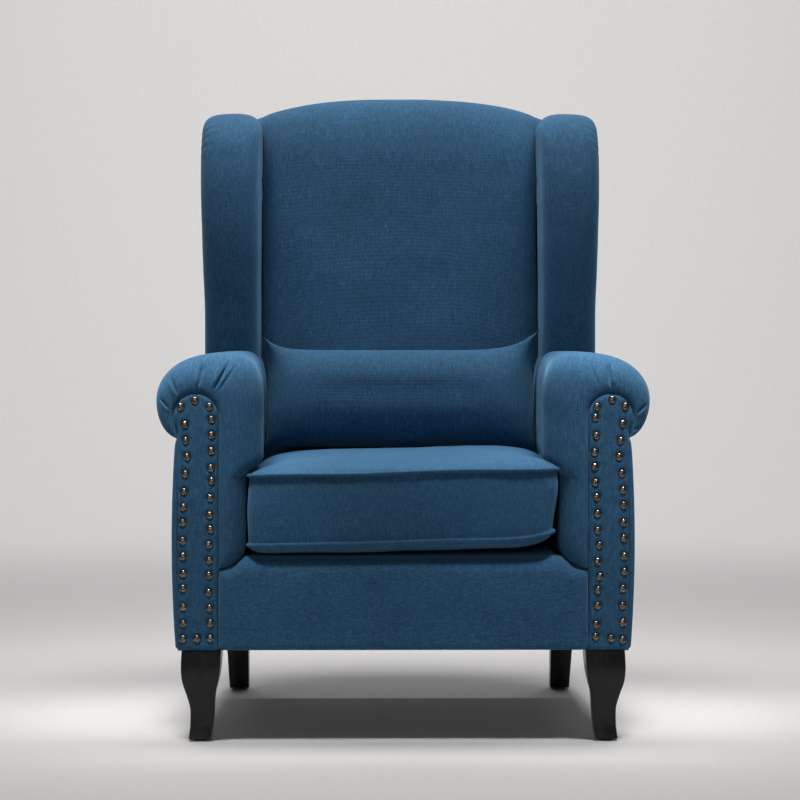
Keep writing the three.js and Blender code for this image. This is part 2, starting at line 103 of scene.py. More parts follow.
def narrowed(x, y):
    """x after the body's narrowing towards the back."""
    beyond = np.maximum(0, np.abs(x) - TAPER_FROM)
    return x - np.sign(x) * beyond * TAPER_PER_MM * (y - FRONT)


def in_back(offset, height):
    """(y, z) of a point given by its offset behind the posts and its height up the reclined back."""
    y = PIVOT_Y + offset * math.cos(RECLINE) + height * math.sin(RECLINE)
    z = PIVOT_Z - offset * math.sin(RECLINE) + height * math.cos(RECLINE)
    return y, z


def back_y(offset, z):
    """y at height z on the reclined plane that lies at an offset behind the posts' fronts."""
    return in_back(offset, (z - PIVOT_Z) / math.cos(RECLINE))[0]


def rounded_edge(edge, depth, width):
    """How far cloth turns away near an edge: `depth` at the edge itself, nothing past `width` from it."""
    return depth * (1 - np.sqrt(1 - (1 - np.clip(edge / width, 0, 1)) ** 2))


def spline(points, count):
    """`count` points evenly spaced along a Catmull-Rom curve through the given points."""
    p = np.asarray(points, float)
    p = np.vstack([2 * p[0] - p[1], p, 2 * p[-1] - p[-2]])
    t = np.linspace(0, 1, 24, endpoint=False)[:, None]
    pieces = []
    for a, b, c, d in zip(p[:-3], p[1:-2], p[2:-1], p[3:]):
        pieces.append(0.5 * (2 * b + (c - a) * t + (2 * a - 5 * b + 4 * c - d) * t ** 2
                             + (3 * b - a - 3 * c + d) * t ** 3))
    return resampled(np.vstack(pieces + [p[-2][None]]), count)


def resampled(line, count, closed=False):
    """`count` points evenly spaced along a polyline."""
    steps = np.linalg.norm(np.diff(line, axis=0), axis=1)
    travelled = np.concatenate([[0], np.cumsum(steps)])
    wanted = np.linspace(0, travelled[-1], count, endpoint=not closed)
    return np.stack([np.interp(wanted, travelled, line[:, k]) for k in range(line.shape[1])], axis=1)


def bezier(start, first, second, end, count=24):
    """A cubic Bezier curve as a polyline."""
    t = np.linspace(0, 1, count)[:, None]
    a, b, c, d = (np.array(p, float) for p in (start, first, second, end))
    return a * (1 - t) ** 3 + 3 * b * t * (1 - t) ** 2 + 3 * c * t ** 2 * (1 - t) + d * t ** 3


def arc(centre, radius, start, end, count=24):
    """An arc as a polyline, from one angle to another in degrees."""
    angles = np.radians(np.linspace(start, end, count))
    return np.stack([centre[0] + radius * np.cos(angles), centre[1] + radius * np.sin(angles)], axis=1)


def lumps(points, size, seed):
    """Smooth noise between about -1 and 1 at each point, with features of the given size."""
    shift = Vector((seed * 17.3, seed * 5.1, seed * 9.7))
    flat = np.asarray(points, float).reshape(-1, 3)
    values = np.array([noise.noise(Vector(p) / size + shift) for p in flat])
    return values.reshape(np.asarray(points).shape[:-1])


def normals_of(grid):
    """A unit normal at each point of a (rows, columns, 3) grid."""
    across = np.gradient(grid, axis=1)
    along = np.gradient(grid, axis=0)
    n = np.cross(across, along)
    return n / np.maximum(np.linalg.norm(n, axis=2, keepdims=True), 1e-9)


def mesh_piece(name, vertices, faces):
    mesh = bpy.data.meshes.new(name)
    mesh.from_pydata([tuple(v) for v in np.asarray(vertices, float) * MM], [], faces)
    mesh.update()
    piece = bpy.data.objects.new(name, mesh)
    bpy.context.scene.collection.objects.link(piece)
    return piece


def finish_mesh(piece, close=True, sharp_angle=None):
    """Closes open edges with fans inside the piece, turns the faces outwards and shades it smooth."""
    bm = bmesh.new()
    bm.from_mesh(piece.data)
    bmesh.ops.remove_doubles(bm, verts=bm.verts, dist=1e-6)
    if close:
        open_edges = [e for e in bm.edges if e.is_boundary]
        caps = bmesh.ops.holes_fill(bm, edges=open_edges, sides=0)["faces"]
        bmesh.ops.poke(bm, faces=caps)
    bmesh.ops.recalc_face_normals(bm, faces=bm.faces)
    bm.to_mesh(piece.data)
    bm.free()
    for polygon in piece.data.polygons:
        polygon.use_smooth = True
    if sharp_angle is not None:
        piece.data.set_sharp_from_angle(angle=math.radians(sharp_angle))
    return piece


def grid_piece(name, grid, wrap=False, close=True):
    """A piece whose surface is a (rows, columns, 3) grid; with wrap, its last column joins its first."""
    rows, columns = grid.shape[:2]
    last = columns if wrap else columns - 1
    faces = []
    for i in range(rows - 1):
        for j in range(last):
            k = (j + 1) % columns
            faces.append((i * columns + j, i * columns + k, (i + 1) * columns + k, (i + 1) * columns + j))
    return finish_mesh(mesh_piece(name, grid.reshape(-1, 3), faces), close)


def tube(name, path, radius, sides=12):
    """A round cord of one radius along a closed path."""
    p = np.asarray(path, float)
    along = np.roll(p, -1, axis=0) - np.roll(p, 1, axis=0)
    along /= np.linalg.norm(along, axis=1, keepdims=True)
    up = np.array([0.02, 0.03, 1.0])
    side = np.cross(along, up)
    side /= np.linalg.norm(side, axis=1, keepdims=True)
    rise = np.cross(side, along)
    angles = np.linspace(0, 2 * math.pi, sides, endpoint=False)
    ring = side[:, None] * np.cos(angles)[None, :, None] + rise[:, None] * np.sin(angles)[None, :, None]
    grid = p[:, None] + radius * ring
    grid = np.concatenate([grid, grid[:1]], axis=0)
    return grid_piece(name, grid, wrap=True, close=False)


def with_modifiers_applied(piece):
    """Gives the piece the mesh that its modifiers make, and removes them."""
    shaped = piece.evaluated_get(bpy.context.evaluated_depsgraph_get())
    piece.data = bpy.data.meshes.new_from_object(shaped)
    piece.modifiers.clear()


# ---------------------------------------------------------------- materials
class Nodes:
    """Short hands for building a node tree."""

    def __init__(self, name):
        self.material = bpy.data.materials.new(name)
        self.material.use_nodes = True
        self.tree = self.material.node_tree
        self.shader = self.tree.nodes["Principled BSDF"]

    def add(self, kind, **values):
        node = self.tree.nodes.new(kind)
        for key, value in values.items():
            if key in node.inputs:
                node.inputs[key].default_value = value
            else:
                setattr(node, key, value)
        return node

    def link(self, source, target):
        self.tree.links.new(source, target)

    def place(self, scale):
        """Object coordinates, scaled by a factor or by one for each axis."""
        coordinates = self.add("ShaderNodeTexCoord")
        mapping = self.add("ShaderNodeMapping")
        mapping.inputs["Scale"].default_value = (scale,) * 3 if np.isscalar(scale) else scale
        self.link(coordinates.outputs["Object"], mapping.inputs["Vector"])
        return mapping.outputs["Vector"]

    def noise(self, scale, detail=2.0, roughness=0.5):
        texture = self.add("ShaderNodeTexNoise", Detail=detail, Roughness=roughness)
        texture.inputs["Scale"].default_value = 1.0
        self.link(self.place(scale), texture.inputs["Vector"])
        return texture.outputs["Fac"]

    def ramp(self, source, stops):
        node = self.add("ShaderNodeValToRGB")
        elements = node.color_ramp.elements
        while len(elements) < len(stops):
            elements.new(0.5)
        for element, (position, colour) in zip(elements, stops):
            element.position = position
            element.color = (*colour, 1) if len(colour) == 3 else colour
        self.link(source, node.inputs["Fac"])
        return node.outputs["Color"]

    def maths(self, operation, a, b):
        node = self.add("ShaderNodeMath", operation=operation)
        for value, socket in zip((a, b), node.inputs):
            if isinstance(value, (int, float)):
                socket.default_value = value
            else:
                self.link(value, socket)
        return node.outputs[0]

    def mix(self, factor, a, b, blend="MIX"):
        node = self.add("ShaderNodeMix", data_type="RGBA", blend_type=blend)
        for value, socket in ((factor, node.inputs[0]), (a, node.inputs[6]), (b, node.inputs[7])):
            if isinstance(value, (int, float)):
                socket.default_value = value
            elif isinstance(value, tuple):
                socket.default_value = (*value, 1)
            else:
                self.link(value, socket)
        return node.outputs[2]

    def bump(self, height, strength, distance):
        node = self.add("ShaderNodeBump", Strength=strength, Distance=distance)
        self.link(height, node.inputs["Height"])
        if self.shader.inputs["Normal"].is_linked:
            self.link(self.shader.inputs["Normal"].links[0].from_socket, node.inputs["Normal"])
        self.link(node.outputs["Normal"], self.shader.inputs["Normal"])

    def colour(self, source, stops):
        self.link(self.ramp(source, stops), self.shader.inputs["Base Color"])

    def rough(self, source, low, high, high_stop=0.7):
        stops = [(0.3, (low,) * 3), (high_stop, (high,) * 3)]
        self.link(self.ramp(source, stops), self.shader.inputs["Roughness"])

    def settings(self, **values):
        for key, value in values.items():
            self.shader.inputs[key.replace("_", " ")].default_value = value
        return self


WAVE_UNIT = 2 * math.pi / 20    # a wave texture of scale 1 repeats after this length


def weave(nodes, pitch):
    """Height of a plain weave: rounded yarns over and under each other along each pair of axes."""
    total = None
    for axis in range(3):
        direction = "XYZ"[axis]
        band = nodes.add("ShaderNodeTexWave", bands_direction=direction, wave_profile="SIN")
        band.inputs["Scale"].default_value = WAVE_UNIT / (pitch * MM)
        band.inputs["Distortion"].default_value = 1.1
        band.inputs["Detail"].default_value = 1.0
        band.inputs["Detail Scale"].default_value = 0.6
        coordinates = nodes.add("ShaderNodeTexCoord")
        nodes.link(coordinates.outputs["Object"], band.inputs["Vector"])
        value = band.outputs["Fac"]
        total = value if total is None else nodes.maths("ADD", total, value)
    return total


def linen(name, warp, weft, warp_share):
    """Blue linen-look weave; warp and weft are the scales along x, y and z of its two sets of slubs."""
    dark, middle, light = (0.0070, 0.0310, 0.0660), (0.0175, 0.0700, 0.1420), (0.0420, 0.1500, 0.2700)
    n = Nodes(name)
    long_yarns, cross_yarns = n.noise(warp, 3, 0.62), n.noise(weft, 3, 0.6)
    ends = n.ramp(long_yarns, [(0.28, dark), (0.50, middle), (0.74, light)])
    picks = n.ramp(cross_yarns, [(0.28, dark), (0.50, middle), (0.74, light)])
    mixed = n.mix(1 - warp_share, ends, picks)
    plain = (1, 1, 1)
    flecks = n.ramp(n.noise(640, 2, 0.7), [(0.30, (0.42, 0.42, 0.45)), (0.44, plain), (0.62, plain),
                                           (0.78, (1.6, 1.5, 1.4))])
    flecked = n.mix(0.85, mixed, flecks, "MULTIPLY")
    wear = n.ramp(n.noise(7, 3, 0.6), [(0.30, (0.88, 0.88, 0.88)), (0.70, (1.10, 1.10, 1.10))])
    n.link(n.mix(1.0, flecked, wear, "MULTIPLY"), n.shader.inputs["Base Color"])
    n.rough(n.noise(500, 2), 0.78, 0.95)
    n.bump(weave(n, 1.3), 0.30, 0.0004)
    n.bump(long_yarns, 0.30, 0.0007)
    n.bump(cross_yarns, 0.22, 0.0006)
    n.bump(n.noise(28, 3, 0.55), 0.10, 0.004)
    n.settings(Sheen_Weight=0.29, Sheen_Roughness=0.5, Specular_IOR_Level=0.20)
    n.shader.inputs["Sheen Tint"].default_value = (0.30, 0.62, 0.95, 1)
    return n.material


def lacquer():
    """Black satin lacquer over wood, with faint grain."""
    n = Nodes("black_lacquer")
    grain = n.noise((260, 260, 22), 4, 0.6)
    n.colour(grain, [(0.3, (0.0045, 0.0042, 0.0046)), (0.7, (0.0095, 0.0088, 0.0090))])
    n.rough(n.noise(60, 3), 0.16, 0.30, high_stop=0.75)
    n.bump(grain, 0.10, 0.0006)
    n.settings(Specular_IOR_Level=0.30)
    return n.material


def aged_brass():
    """Dome nails of antique brass: brown in the low spots, brighter where rubbed."""
    n = Nodes("aged_brass")
    patina = n.noise(420, 3, 0.65)
    tarnish, brown, rubbed = (0.045, 0.036, 0.031), (0.175, 0.142, 0.118), (0.38, 0.33, 0.28)
    n.colour(patina, [(0.28, tarnish), (0.52, brown), (0.75, rubbed)])
    n.rough(patina, 0.38, 0.20)
    n.bump(n.noise(900, 2), 0.15, 0.0003)
    n.settings(Metallic=1.0)
    return n.material


def metal(name, low, high, roughness):
    """Plain metal with fine drawn streaks."""
    n = Nodes(name)
    streaks = n.noise((300, 900, 900), 3, 0.6)
    n.colour(streaks, [(0.3, low), (0.7, high)])
    n.rough(streaks, roughness, roughness + 0.15)
    n.bump(streaks, 0.08, 0.0002)
    n.settings(Metallic=1.0)
    return n.material


def timber():
    """Sawn softwood, with growth rings along the boards."""
    n = Nodes("sawn_timber")
    rings = n.add("ShaderNodeTexWave", bands_direction="X", wave_profile="SAW")
    rings.inputs["Scale"].default_value = 4.0
    rings.inputs["Distortion"].default_value = 6.0
    rings.inputs["Detail"].default_value = 3.0
    n.link(n.place((30, 30, 3)), rings.inputs["Vector"])
    early, pale, late = (0.46, 0.28, 0.13), (0.60, 0.40, 0.21), (0.36, 0.20, 0.09)
    n.colour(rings.outputs["Fac"], [(0.0, early), (0.6, pale), (1.0, late)])
    saw = n.noise((900, 60, 900), 2)
    n.rough(saw, 0.62, 0.85)
    n.bump(saw, 0.3, 0.0006)
    return n.material


def soft_stuff(name, low, high, size, depth):
    """Foam, fibre, webbing and lining cloth: a mottled matt surface with a bump of its own grain size."""
    n = Nodes(name)
    grain = n.noise(1000 / size, 4, 0.7)
    n.colour(grain, [(0.3, low), (0.7, high)])
    n.rough(grain, 0.85, 0.98)
    n.bump(grain, 0.5, depth * MM)
    return n.material


def moulded_plastic():
    """Dull black plastic with a fine moulded grain."""
    n = Nodes("moulded_plastic")
    grain = n.noise(1500, 2)
    n.colour(grain, [(0.3, (0.010, 0.010, 0.011)), (0.7, (0.018, 0.018, 0.019))])
    n.rough(grain, 0.42, 0.58)
    n.bump(grain, 0.2, 0.0002)
    return n.material


# the slubs run up the fronts and back along the tops; along the seat's front border they run across
linen_front = linen("linen_front", warp=(900, 75, 75), weft=(110, 900, 900), warp_share=0.58)
linen_border = linen("linen_border", warp=(900, 75, 75), weft=(110, 900, 900), warp_share=0.36)
linen_side = linen("linen_side", warp=(900, 900, 75), weft=(900, 110, 900), warp_share=0.55)
lining = soft_stuff("black_lining", (0.006, 0.006, 0.007), (0.014, 0.014, 0.015), 1.2, 0.3)
brass = aged_brass()
black = lacquer()
SLOT_LOOKS = {
    "upholstery": linen_front,
    "frame_wood": timber(),
    "leg_lacquer": black,
    "glide_plastic": moulded_plastic(),
    "bolt_steel": metal("plated_steel", (0.42, 0.42, 0.44), (0.60, 0.60, 0.62), 0.28),
    "nail_brass": brass,
    "spring_steel": metal("spring_steel", (0.12, 0.13, 0.14), (0.24, 0.25, 0.26), 0.35),
    "webbing": soft_stuff("woven_webbing", (0.018, 0.015, 0.012), (0.045, 0.038, 0.030), 1.5, 0.5),
    "dust_cloth": lining,
    "foam": soft_stuff("cut_foam", (0.70, 0.62, 0.36), (0.84, 0.77, 0.50), 2.5, 0.8),
    "fibre": soft_stuff("fibre_fill", (0.76, 0.76, 0.74), (0.90, 0.90, 0.88), 4.0, 1.5),
    "zip_tape": soft_stuff("zip_cloth", (0.006, 0.024, 0.046), (0.014, 0.050, 0.090), 0.8, 0.3),
    "zip_metal": metal("zip_metal", (0.30, 0.30, 0.31), (0.46, 0.46, 0.47), 0.3),
}


def dress(piece, material, body="chair", replaces=()):
    """Gives a piece its material and its place in the frame."""
    piece.data.materials.clear()
    piece.data.materials.append(material)
    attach(piece, body)
    if replaces:
        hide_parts(*replaces)


def dress_cad_nodes():
    """Every CAD node that stays in view gets its slot's full material."""
    slots = {s["node"]: s["material_slot"] for s in frame["record"]["subparts"]}
    for name, piece in frame["nodes"].items():
        piece.data.materials.clear()
        piece.data.materials.append(SLOT_LOOKS[slots[name]])


# ---------------------------------------------------------------- the back's surface
def back_front_offset(x, height):
    """How far in front of the posts the back pad's cloth lies, as a negative offset."""
    edge = SEAT_HALF - np.minimum(np.abs(x), SEAT_HALF)
    across = np.cos(np.clip(x / SEAT_HALF, -1, 1) * math.pi / 2)
    belly = 5.0 * across * np.sin(np.clip(height / 700, 0, 1) * math.pi)
    tuck = rounded_edge(edge, 26.0, 30.0)
    lean_in = 12.0 * smoothstep(180, 0, height)
    return BACK_OFFSET + 2.0 - belly + tuck + lean_in


CREST_TOP = 786.0               # heights up the reclined back
CREST_START, CREST_EDGE = 640.0, 760.0
CREST_RISE, CREST_HALF = 38.0, 265.0


def crest_drop(x):
    """How far the crest is below its middle."""
    return CREST_RISE * np.abs(x / CREST_HALF) ** 2.9


def make_back_pad():
    """The inside back: a broad padded panel that rolls back over the arched crest."""
    share = np.sin(np.linspace(-1, 1, 150) * math.pi / 2 * 0.985) / math.sin(math.pi / 2 * 0.985)

    def width(height):
        # at the crest the pad runs on behind the rounded tops of the wings
        return (SEAT_HALF + 15.0 * smoothstep(690, 745, height)) * share

    rows = []
    for height in np.linspace(12, CREST_START, 120):
        x = width(height)
        rows.append((x, height, back_front_offset(x, height)))
    top = CREST_TOP - crest_drop(width(CREST_EDGE))
    for angle in np.linspace(0, 1, 60)[1:] * math.pi / 2:
        # a quarter of a superellipse from the front face over to the flat of the roll
        rise, run = math.sin(angle) ** 0.8, 1 - math.cos(angle) ** 0.85
        height = CREST_START + (top - CREST_START) * rise
        x = width(height)
        front = back_front_offset(x, CREST_START)
        rows.append((x, height, front + (-4 - front) * run))
    x = width(CREST_EDGE)
    for offset in np.linspace(0, 30, 12)[1:]:
        rows.append((x, top, offset))
    for angle in np.linspace(0, 1, 8)[1:] * math.pi / 2:
        rows.append((x, top - 6 * (1 - math.cos(angle)), 30 + 4 * math.sin(angle)))
    for drop in np.linspace(0, 60, 8)[1:]:
        rows.append((x, top - 6 - drop, 34))
    grid = np.array([np.stack(np.broadcast_arrays(x, *in_back(offset, height)), axis=1)
                     for x, height, offset in rows])
    grid += normals_of(grid) * (lumps(grid, 130, 1) * 1.6 + lumps(grid, 55, 2) * 0.5)[..., None]
    pad = grid_piece("inside_back", grid)
    dress(pad, linen_front, replaces=["inside_back_pad"])


def make_back_panel():
    """The outside back: cloth drawn flat over the rear of the frame, its edges turned under."""
    half = PANEL_HIGH[0]
    x = half * np.linspace(-1, 1, 120)
    low = -140.0
    top = CREST_TOP - 4.0 - crest_drop(x)
    grid = []
    for t in np.linspace(0, 1, 150):
        height = low + (top - low) * t
        edge = np.minimum(np.minimum(half - np.abs(x), height - low), top - height)
        turn = rounded_edge(edge, 7.0, 8.0)
        grid.append(np.stack([x, *in_back(PANEL_OFFSET - turn, height)], axis=1))
    grid = np.array(grid)
    depth = lumps(grid, 160, 5) * 1.2 - 1.2
    grid[..., 1] += depth * smoothstep(0, 40, half - np.abs(grid[..., 0]))
    panel = grid_piece("outside_back", grid)
    dress(panel, linen_front, replaces=["outside_back_panel"])


# ---------------------------------------------------------------- arms
ROLL_OUTER = ARM_OUTER + 4.0
ROLL_INNER = ARM_INNER + 5.0
REAR_INNER = 236.0             # the arm's inner face at the pillow
# the columns of an arm's grid: under the roll, up its outside, down its inside, and down to the seat
ARM_COLUMNS = (34, 60, 70, 130)


def joined(sections):
    """The sections one after another, each resampled to its share of the arm's columns."""
    lines = [resampled(np.asarray(line, float), count + 1)[:-1]
             for line, count in zip(sections, ARM_COLUMNS)]
    return np.vstack(lines + [np.asarray(sections[-1], float)[-1:]])


def facing_line():
    """The arm facing's edge in (x, z): from the neck, over its round head, and down its inner side."""
    head = (ARCH_X, ARCH_Z)
    neck = np.vstack([[[348.0, NECK_Z]], arc(head, ARCH_RADIUS, -14, 0)])
    outside, inside = arc(head, ARCH_RADIUS, 0, 90, 60), arc(head, ARCH_RADIUS, 90, 180, 60)
    return joined([neck, outside, inside, [(FACING_INNER, ARCH_Z), (FACING_INNER, 268.0)]])


def roll_line():
    """The arm's outer surface in (x, z), in the same sections as the facing's edge."""
    under = bezier((350.5, NECK_Z + 1), (371, 478), (ROLL_OUTER, 503), (ROLL_OUTER, 530))
    outside = bezier((ROLL_OUTER, 530), (ROLL_OUTER, 556), (366, 586), (ARCH_X, ARM_TOP - 7), 60)
    inside = np.vstack([
        bezier((ARCH_X, ARM_TOP - 7), (296, ARM_TOP - 1), (270, ARM_TOP + 2), (250, ARM_TOP - 5), 40),
        bezier((250, ARM_TOP - 5), (228, ARM_TOP - 14), (ROLL_INNER + 2, 570), (ROLL_INNER, 536), 40)[1:]])
    down = np.vstack([
        bezier((ROLL_INNER, 536), (ROLL_INNER, 505), (ROLL_INNER, 470), (ROLL_INNER, 446)),
        bezier((ROLL_INNER, 446), (ROLL_INNER, 430), (ROLL_INNER + 14, 421), (242.8, 414))[1:],
        bezier((243.6, 405), (244, 370), (244, 340), (244, 312)),
        bezier((244, 312), (244, 290), (250, 272), (286, 268))[1:]])
    return joined([under, outside, inside, down])


# pleats round each roll: (column, depth in mm); the columns count from the neck over the roll
PLEATS = {
    "left": [(39, 5.0), (64, 5.5), (99, 8.5), (122, 7.0), (129, 3.0)],
    "right": [(12, 3.5), (33, 6.5), (94, 8.5), (112, 1.6)],
}


def pleat_height(columns, out, side):
    """How far the cloth is pressed in (positive) or stands out (negative) at the roll's pleats."""
    window = smoothstep(0.18, 0.34, out) * (1 - smoothstep(0.50, 0.86, out))
    total = np.zeros(len(columns))
    for place, depth in PLEATS[side]:
        apart = (columns - place) * 1.7
        fold = np.where(apart > 0, np.exp(-apart / 4.0), np.exp(apart / 1.2))
        total += depth * fold - 0.30 * depth * np.exp(-((apart + 6) / 5.0) ** 2)
    return total * window


def with_end_cap(grid, middle):
    """The grid with more rows that draw its last row in towards a middle, each point keeping its y."""
    last = grid[-1]
    target = np.stack([np.full(len(last), middle[0]), last[:, 1], np.full(len(last), middle[2])], axis=1)
    cap = [last + (target - last) * share for share in (0.04, 0.35, 0.70, 0.98)]
    return np.concatenate([grid, cap], axis=0)


def make_arm_pad(side):
    """The roll of the arm: cloth drawn over the end in pleats, down to the facing's edge."""
    edge, roll = facing_line(), roll_line()
    reach = roll - edge
    span = np.linalg.norm(reach, axis=1)
    rounding = 60.0 * (1 - np.exp(-span / 45.0))
    columns = np.arange(len(roll))
    flat = 0.10                    # this share of the way out to the roll lies flat on the front
    curve = np.sin(np.linspace(0, math.pi / 2, 40)[1:])
    outs = np.concatenate([np.linspace(0, flat, 9), flat + (1 - flat) * curve])
    grid = []
    for out in outs:
        point = edge + reach * out
        turned = max(0.0, (out - flat) / (1 - flat))
        y = FRONT + 0.5 + rounding * (1 - math.sqrt(max(0.0, 1 - turned ** 2)))
        y = y + 5.5 * np.exp(-span * out / 3.0) + 4.0 * np.exp(-span * out / 12.0)
        y = y + pleat_height(columns, out, side)
        grid.append(np.stack([point[:, 0], y, point[:, 1]], axis=1))
    start = grid[-1]
    end = rear_of_arm(roll)
    for t in np.linspace(0, 1, 56)[1:] ** 1.35:
        y = start[:, 1] + (end - start[:, 1]) * t
        grid.append(np.stack([roll[:, 0], y, roll[:, 1]], axis=1))
    grid = np.array(grid)
    swell = lumps(grid, 110, 11 if side == "left" else 12) * 1.6 + lumps(grid, 38, 13) * 0.5
    fade = smoothstep(0, 26, np.abs(grid[..., 0] - 243.5)) * 0.7 + 0.3
    grid += normals_of(grid) * (swell * fade)[..., None]
    x, y, z = grid[..., 0], grid[..., 1], grid[..., 2]
    inward = np.clip((264 - x) / (264 - ROLL_INNER), 0, 1) * smoothstep(412, 432, z)
    x = x + (REAR_INNER - ROLL_INNER) * smoothstep(FRONT + 30, -20, y) * inward
    x = np.maximum(x, np.where(z < 412, 242.6, ROLL_INNER - 2))
    grid[..., 0] = narrowed(x, y)
    behind = grid[-1].copy()
    behind[:, 1] = back_y(PANEL_OFFSET - SIDE_SETBACK, behind[:, 2])
    grid = np.concatenate([grid, behind[None]], axis=0)
    grid = with_end_cap(grid, np.array([narrowed(ARCH_X, behind[0, 1]), 0.0, ARCH_Z + 20.0]))
    grid[..., 0] *= SIDES[side]
    pad = grid_piece(f"{side}_arm_roll", grid)
    dress(pad, linen_front, replaces=[f"{side}_arm_pad"])


def rear_of_arm(roll):
    """Where each line of the arm ends: against the back pad inside, against the back panel outside."""
    against_pad = back_y(BACK_OFFSET + 10, roll[:, 1])
    against_panel = back_y(PANEL_OFFSET - SIDE_SETBACK, roll[:, 1])
    outside = smoothstep(240, 252, roll[:, 0])
    return against_pad + (against_panel - against_pad) * outside


# how far each side's inner column of nails drifts outwards, and at what height
DRIFT = {"left": (3.0, 290), "right": (5.0, 300)}


def nail_places(side):
    """Nail centres in (x, z): two columns, three nails round the facing's head, and one at the foot."""
    rng = np.random.default_rng(7 if side == "left" else 8)
    foot = BODY_BOTTOM + 18
    places = []
    for z in np.linspace(foot, ARCH_Z - 12, 14):
        waist = 6.0 * math.exp(-((z - 448) / 40) ** 2)
        places.append((ARCH_X + 20.0 - waist, z))
    for z in np.linspace(foot + 1, ARCH_Z - 6, 15):
        size, centre = DRIFT[side]
        drift = size * math.exp(-((z - centre) / 95) ** 2)
        places.append((ARCH_X - 24.5 + 2.5 * smoothstep(400, 200, z) + drift, z))
    places.append((ARCH_X + 21.5, ARCH_Z + 15.5))
    places.append((ARCH_X - 21.5, ARCH_Z + 15.5))
    places.append((ARCH_X + 1.0, ARCH_Z + ARCH_RADIUS - 8.5))
    places.append((ARCH_X - 1.0, foot + 1.0))
    return [(float(x) + rng.normal(0, 0.8), float(z) + rng.normal(0, 1.4)) for x, z in places]


def make_facing(side, nails):
    """The padded panel on the front of the arm, dimpled under each nail."""
    z_rows = np.concatenate([np.arange(BODY_BOTTOM, ARCH_Z, 2.0), [ARCH_Z]])
    head = np.sin(np.linspace(0, math.pi / 2, 26)[1:])
    z_rows = np.concatenate([z_rows, ARCH_Z + ARCH_RADIUS * head])
    columns = 37
    c = np.linspace(-1, 1, columns)
    face = []
    for z in z_rows:
        chord = ARCH_RADIUS * math.sqrt(max(0.0, 1 - max(0.0, (z - ARCH_Z) / ARCH_RADIUS) ** 2))
        inner = ARCH_X - chord
        outer = ARCH_X + chord - 6.0 * (1 - smoothstep(478, 502, z))
        x = (inner + outer) / 2 + (outer - inner) / 2 * c
        edge = np.minimum(x - inner, outer - x)
        if z > ARCH_Z:
            edge = ARCH_RADIUS - np.hypot(x - ARCH_X, z - ARCH_Z)
        edge = np.minimum(edge, z - BODY_BOTTOM)
        y = FRONT + 0.6 + rounded_edge(edge, 7.0, 8.0)
        face.append(np.stack([x, y, np.full(columns, z)], axis=1))
    face = np.array(face)
    for x, z in nails:
        apart = np.hypot(face[..., 0] - x, face[..., 2] - z)
        face[..., 1] += 2.2 * np.exp(-(apart / 7.6) ** 4) + 0.8 * np.exp(-(apart / 14.0) ** 2)
    face[..., 1] += lumps(face, 45, 21 + SIDES[side]) * 0.6
    rear = FACING_HIGH[1] - 2
    wall_left, wall_right = face[:, :1].copy(), face[:, -1:].copy()
    for wall in (wall_left, wall_right):
        wall[..., 1] = rear
    grid = np.concatenate([wall_left, face, wall_right], axis=1)
    first, last = grid[:1].copy(), grid[-1:].copy()
    for end in (first, last):
        end[..., 1] = rear
    grid = np.concatenate([first, grid, last], axis=0)
    grid[..., 0] *= SIDES[side]
    panel = grid_piece(f"{side}_facing", grid)
    dress(panel, linen_front, replaces=[f"{side}_arm_facing"])


def make_nails(side, nails):
    """Dome-headed nails, each pressed into the facing a little differently."""
    rng = np.random.default_rng(31 if side == "left" else 32)
    radius, height, segments = 6.1, 3.6, 24
    dome = [(math.cos(a), 0.08 + 0.92 * math.sin(a)) for a in np.linspace(0.12, 1.5, 10)]
    profile = [(1.0, 0.0), (1.0, 0.08)] + dome
    vertices, faces = [], []
    angles = np.linspace(0, 2 * math.pi, segments, endpoint=False)
    for x, z in nails:
        tilt_x, tilt_z = rng.normal(0, 0.05, 2)
        base = len(vertices)
        for share, rise in profile:
            for angle in angles:
                dx, dz = radius * share * math.cos(angle), radius * share * math.sin(angle)
                y = FRONT + 2.6 - height * rise + tilt_x * dx + tilt_z * dz
                vertices.append((SIDES[side] * (x + dx), y, z + dz))
        for ring in range(len(profile) - 1):
            for j in range(segments):
                k = (j + 1) % segments
                a, b = base + ring * segments, base + (ring + 1) * segments
                faces.append((a + j, a + k, b + k, b + j))
        faces.append(tuple(base + (len(profile) - 1) * segments + j for j in range(segments)))
        faces.append(tuple(base + j for j in reversed(range(segments))))
    trim = finish_mesh(mesh_piece(f"{side}_nails", vertices, faces), close=False, sharp_angle=60)
    dress(trim, brass, replaces=[f"{side}_nail_trim"])


